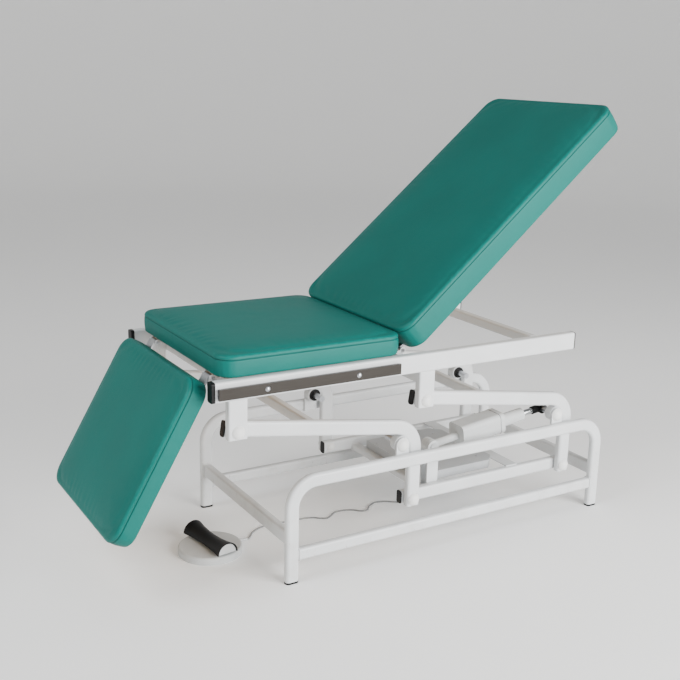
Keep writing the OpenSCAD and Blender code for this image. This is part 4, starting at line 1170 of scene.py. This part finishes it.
    def wrap(self) -> None:
        """The cover's edge, pulled round under the board and stapled there."""
        ragged = 1.6 * MM * self.waves
        loops = []
        for inset, z, loose in (
            (3.6, 0.5, 0), (5.0, -0.6, 0), (33, -0.6, 1),
            (34.5, -0.1, 1), (33, 0.3, 1), (6, 0.4, 0),
        ):
            ring = self.ring(inset * MM, z * MM)
            ring[:, :2] += self.out * (ragged * loose)[:, None]
            loops.append(ring)
        grid = self.seat(np.stack(loops, 1))
        strip = Surface().grid(grid, ring=True)
        strip = strip.piece(f"{self.name}_wrap", Vinyl(), self.body, "upholstery")
        # The wrap gets no painted seam shade and no edge wear.
        for name in ("seam", "edge"):
            self.keep(strip, name, np.zeros(len(strip.data.vertices)))
        line = resample(self.ring(21 * MM, -0.7 * MM), self.staple_pitch, True)
        toward = unit(np.roll(line, -1, 0) - np.roll(line, 1, 0))
        t = np.linspace(-1, 1, 7)
        staples = Surface()
        for place, way in zip(line, toward):
            bow = np.stack([
                place[0] + way[0] * t * self.staple_half, place[1] + way[1] * t * self.staple_half,
                place[2] + np.abs(t) ** 6 * self.staple_rise,
            ], -1)
            staples.grid(self.seat(carry(bow, self.wire_r, 6, False)))
        staples.piece(f"{self.name}_staples", ZINC, self.body, "zinc_steel")


@dataclass
class WeldedFrame:
    """The beads where the tubes of one body are welded together."""

    body: str
    finish: object = COAT
    paths: list = field(default_factory=list)

    def around(
        self, middle: tuple, first: tuple, second: tuple, width: float, height: float,
        radius: float = TUBE_CORNER,
    ) -> None:
        """Adds a bead all round a tube's end.

        Args:
            middle: Middle of the joint.
            first: Unit vector of the tube's width.
            second: Unit vector of the tube's height.
            width: Width of the tube.
            height: Height of the tube.
            radius: Radius of its corners.
        """
        flat = round_rectangle(width + 1.4 * MM, height + 1.4 * MM, radius + 0.7 * MM)
        path = np.array(middle) + flat @ np.array([first, second], float)
        self.paths.append((path, True))

    def along(self, *points: tuple) -> None:
        """Adds a bead along a line of points."""
        self.paths.append((np.array(points, float), False))

    def build(self) -> None:
        """Makes all the body's beads as one piece."""
        beads = Surface()
        for path, closed in self.paths:
            beads.grid(weld_bead(path, closed), ring=closed)
        beads.piece(f"{self.body}_welds", self.finish, self.body, "frame_paint")


@dataclass(frozen=True)
class PanScrew:
    """The head of a pan screw: a low dome with a round recess for the driver."""

    radius: float = 4.2 * MM
    height: float = 2.4 * MM
    recess: float = 1.5 * MM
    sides: int = 14

    def grid(self, place: Place, x: float, y: float, z: float, out: int) -> np.ndarray:
        """The head as rings round its own axis, on a face of a section.

        Args:
            place: Frame of the section.
            x: Place along the section.
            y: Place across it.
            z: Height of the face in the section's frame.
            out: 1 where the head points up in that frame and -1 where it points down.

        Returns:
            A grid for Surface.grid.
        """
        r, h = self.radius, self.height
        hole = self.recess / r
        radius = r * np.array([0.5, 1, 1, 0.93, 0.72, hole, hole * 0.8, 0.1])
        height = h * np.array([-0.2, -0.2, 0.25, 0.62, 0.9, 1, 0.35, 0.3])
        turn = round_turns(self.sides)
        flat = np.stack([
            x + radius[:, None] * np.cos(turn), y + radius[:, None] * np.sin(turn),
            np.broadcast_to(z + out * height[:, None], (len(radius), self.sides)),
        ], -1)
        return place.put(flat)


@dataclass
class HingeScrews:
    """The screws that hold a hinged section's two leaves under its board."""

    body: str
    place: Place
    under: float
    away: int
    along: tuple = (28 * MM, 44 * MM, 60 * MM)
    leaf_y: float = 0.2
    stagger: float = 11 * MM

    def build(self) -> None:
        """Makes the section's screws as one piece, staggered from row to row."""
        heads = Surface()
        for side in Side:
            for number, distance in enumerate(self.along):
                y = side.value * self.leaf_y + (-1) ** number * self.stagger
                heads.grid(PanScrew().grid(self.place, self.away * distance, y, self.under, -1))
        heads.piece(f"{self.body}_leaf_screws", ZINC, self.body, "zinc_steel")


@dataclass
class ActuatorTrim:
    """The wiper ring at the tube's mouth, the gasket of the housing's cover and its screws."""

    place: Place = Place(REAR_PIVOT[0], REAR_PIVOT[1], ACTUATOR_SLOPE)
    middle_y: float = -0.203
    tube_start: float = 82.1 * MM
    housing_start: float = 178.1 * MM
    housing: tuple = (78 * MM, 67 * MM, 14 * MM)
    lift: float = 6 * MM
    cover: float = 17 * MM
    wiper_r: float = 12.6 * MM
    wiper_rod: float = 1.7 * MM
    gasket_rod: float = 0.7 * MM

    def build(self) -> None:
        """Makes the ring, the gasket and the four cover screws on the actuator's body."""
        self.wiper()
        self.gasket()
        self.screws()

    def ring(self, along: float, flat: np.ndarray, lift: float, radius: float) -> np.ndarray:
        """A rod of a radius carried round a flat outline that faces along the actuator."""
        level, upright = self.middle_y + flat[:, 0], lift + flat[:, 1]
        path = np.column_stack([np.full(len(flat), -along), level, upright])
        return self.place.put(carry(resample(path, 3 * MM, True), radius, 8, True, (1, 0, 0)))

    def wiper(self) -> None:
        """The black ring that wipes the rod."""
        turn = round_turns(40)
        circle = self.wiper_r * np.column_stack([np.cos(turn), np.sin(turn)])
        rings = Surface()
        for along in (self.tube_start - 0.6 * MM, self.tube_start - 2.6 * MM):
            rings.grid(self.ring(along, circle, 0, self.wiper_rod), ring=True)
        rings.piece("actuator_wiper", BLACK, "actuator_body", "black_plastic")

    def gasket(self) -> None:
        """The dark gasket under the housing's front cover, standing 0.4 mm out of the joint."""
        width, height, corner = self.housing
        outline = round_rectangle(width, height, corner)
        ring = self.ring(self.housing_start + self.cover, outline, self.lift, self.gasket_rod)
        rod = Surface().grid(ring, ring=True)
        rod.piece("actuator_gasket", BLACK, "actuator_body", "black_plastic")

    def screws(self) -> None:
        """Four screws in the corners of the housing's front face."""
        width, height, corner = self.housing
        face = Place(
            self.place.x - math.cos(math.radians(self.place.slope)) * self.housing_start,
            self.place.z - math.sin(math.radians(self.place.slope)) * self.housing_start,
            self.place.slope - 90,
        )
        heads = Surface()
        for side in Side:
            for end in (-1, 1):
                y = self.middle_y + side.value * (width / 2 - corner)
                x = -(self.lift + end * (height / 2 - corner))
                heads.grid(PanScrew(3.2 * MM, 1.8 * MM, 1.2 * MM).grid(face, x, y, 0, 1))
        heads.piece("actuator_cover_screws", ZINC, "actuator_body", "zinc_steel")


def dress_nodes() -> None:
    """Gives each CAD node that stays in sight its finish."""
    boards = {"seat_board": 0.0, "backrest_board": BACKREST_ANGLE, "legrest_board": LEGREST_ANGLE}
    base = set(frame["record"]["behaviour"]["bodies"]["base"])
    slots = {row["node"]: row["material_slot"] for row in frame["record"]["subparts"]}
    # The tray's darker grey is painted shade from the actuator above it.
    own = {"actuator_rod": BareMetal(Metal.CHROME), "tray": PowderCoat((176, 178, 180))}
    plain = {
        "black_plastic": BLACK, "white_plastic": WHITE, "grey_plastic": GREY, "zinc_steel": ZINC,
        "rail_steel": BareMetal(Metal.BAR), "upholstery": Vinyl(), "cable_jacket": Jacket(),
    }
    for name, node in frame["nodes"].items():
        slot = slots[name]
        if name in boards:
            finish = Plywood(boards[name])
        elif name in own:
            finish = own[name]
        elif slot == "frame_paint":
            finish = SCUFFED_COAT if name in base else COAT
        else:
            finish = plain[slot]
        node.data.materials.clear()
        node.data.materials.append(material_of(finish))
    LOG.info("%d CAD nodes dressed", len(frame["nodes"]))


def welds() -> list[WeldedFrame]:
    """The welded joints of each body, from the frame's own sizes."""
    x, y, z = (1, 0, 0), (0, 1, 0), (0, 0, 1)
    base = WeldedFrame("base", SCUFFED_COAT)
    upper = WeldedFrame("upper_frame")
    tie = WeldedFrame("tie_frame")
    cranks = {"front_crank": FRONT_PIVOT, "rear_crank": REAR_PIVOT}
    made = [base, upper, tie]
    for side in Side:
        s = side.value
        for end in (-1, 1):
            at = (end * CROSS_TUBE[0], s * CROSS_TUBE[1], CROSS_TUBE[2])
            base.around(at, x, z, *CROSS_FACE)
            at = (end * LOWER_RAIL[0], s * LOWER_RAIL[1], LOWER_RAIL[2])
            base.around(at, y, z, *LOWER_FACE, LOWER_CORNER)
        for pivot in cranks.values():
            base.along(*((pivot[0] + a, s * LUG_Y, b) for a, b in LUG_LINE))
            pin_x = pivot[0] + ARM[0]
            outline = both_halves(BRACKET_HALF)
            upper.along(*((pin_x + a, s * b, BRACKET_Z) for a, b in outline))
        for place in UPPER_CROSS_X:
            upper.around((place, s * UPPER_CROSS_Y, UPPER_CROSS_Z), x, z, *SQUARE_FACE)
        outline = both_halves(HEAD_BAR_HALF)
        upper.along(*((HEAD_BAR_X + a, s * UPPER_CROSS_Y, b) for a, b in outline))
        upper.around((REAR_PIVOT[0] + ARM[0], s * BRACE_Y, BRACE_Z), x, z, *BRACE_FACE)
        tie.around((TIE_CROSS[0], s * TIE_CROSS[1], TIE_CROSS[2]), x, z, *TIE_FACE)
    for body, pivot in cranks.items():
        crank = WeldedFrame(body)
        slope = math.radians(ARM_SLOPE)
        along = (math.cos(slope), 0, -math.sin(slope))
        across = (math.sin(slope), 0, math.cos(slope))
        reach = CRANK_CROSS_REACH
        middle = (pivot[0] + ARM[0] + reach * along[0], pivot[1] + ARM[1] + reach * along[2])
        for side in Side:
            at = (middle[0], side.value * CRANK_CROSS_Y, middle[1])
            crank.around(at, along, across, *SQUARE_FACE)
        made.append(crank)
    return made


def main() -> None:
    """Builds the couch's looks: the camera and the cable first, then every piece."""
    logging.basicConfig(level=logging.INFO, format="%(message)s")
    PhotoCamera().build()
    PedalCable().build()
    Studio().build()
    dress_nodes()
    cushions = [
        Cushion(
            "seat_pad", "upper_frame", "seat_cushion", Place(), middle=-0.49656, under=0.624,
            length=0.563, width=0.600, thick=0.066, seed=3, wrapped=False,
        ),
        Cushion(
            "backrest_pad", "backrest", "backrest_cushion", Place(-0.17006, 0.614, BACKREST_ANGLE),
            middle=0.5015, under=0.0105, length=0.983, width=0.600, thick=0.088, seed=5,
        ),
        Cushion(
            "legrest_pad", "legrest", "legrest_cushion", Place(-0.76806, 0.608, LEGREST_ANGLE),
            middle=-0.259, under=0.012, length=0.474, width=0.530, thick=0.064, seed=8,
        ),
    ]
    for cushion in cushions:
        cushion.build()
    for frame_part in welds():
        frame_part.build()
    HingeScrews("backrest", cushions[1].place, 5.5 * MM, 1).build()
    HingeScrews("legrest", cushions[2].place, 7 * MM, -1).build()
    ActuatorTrim().build()


if __name__ == "__main__":
    main()
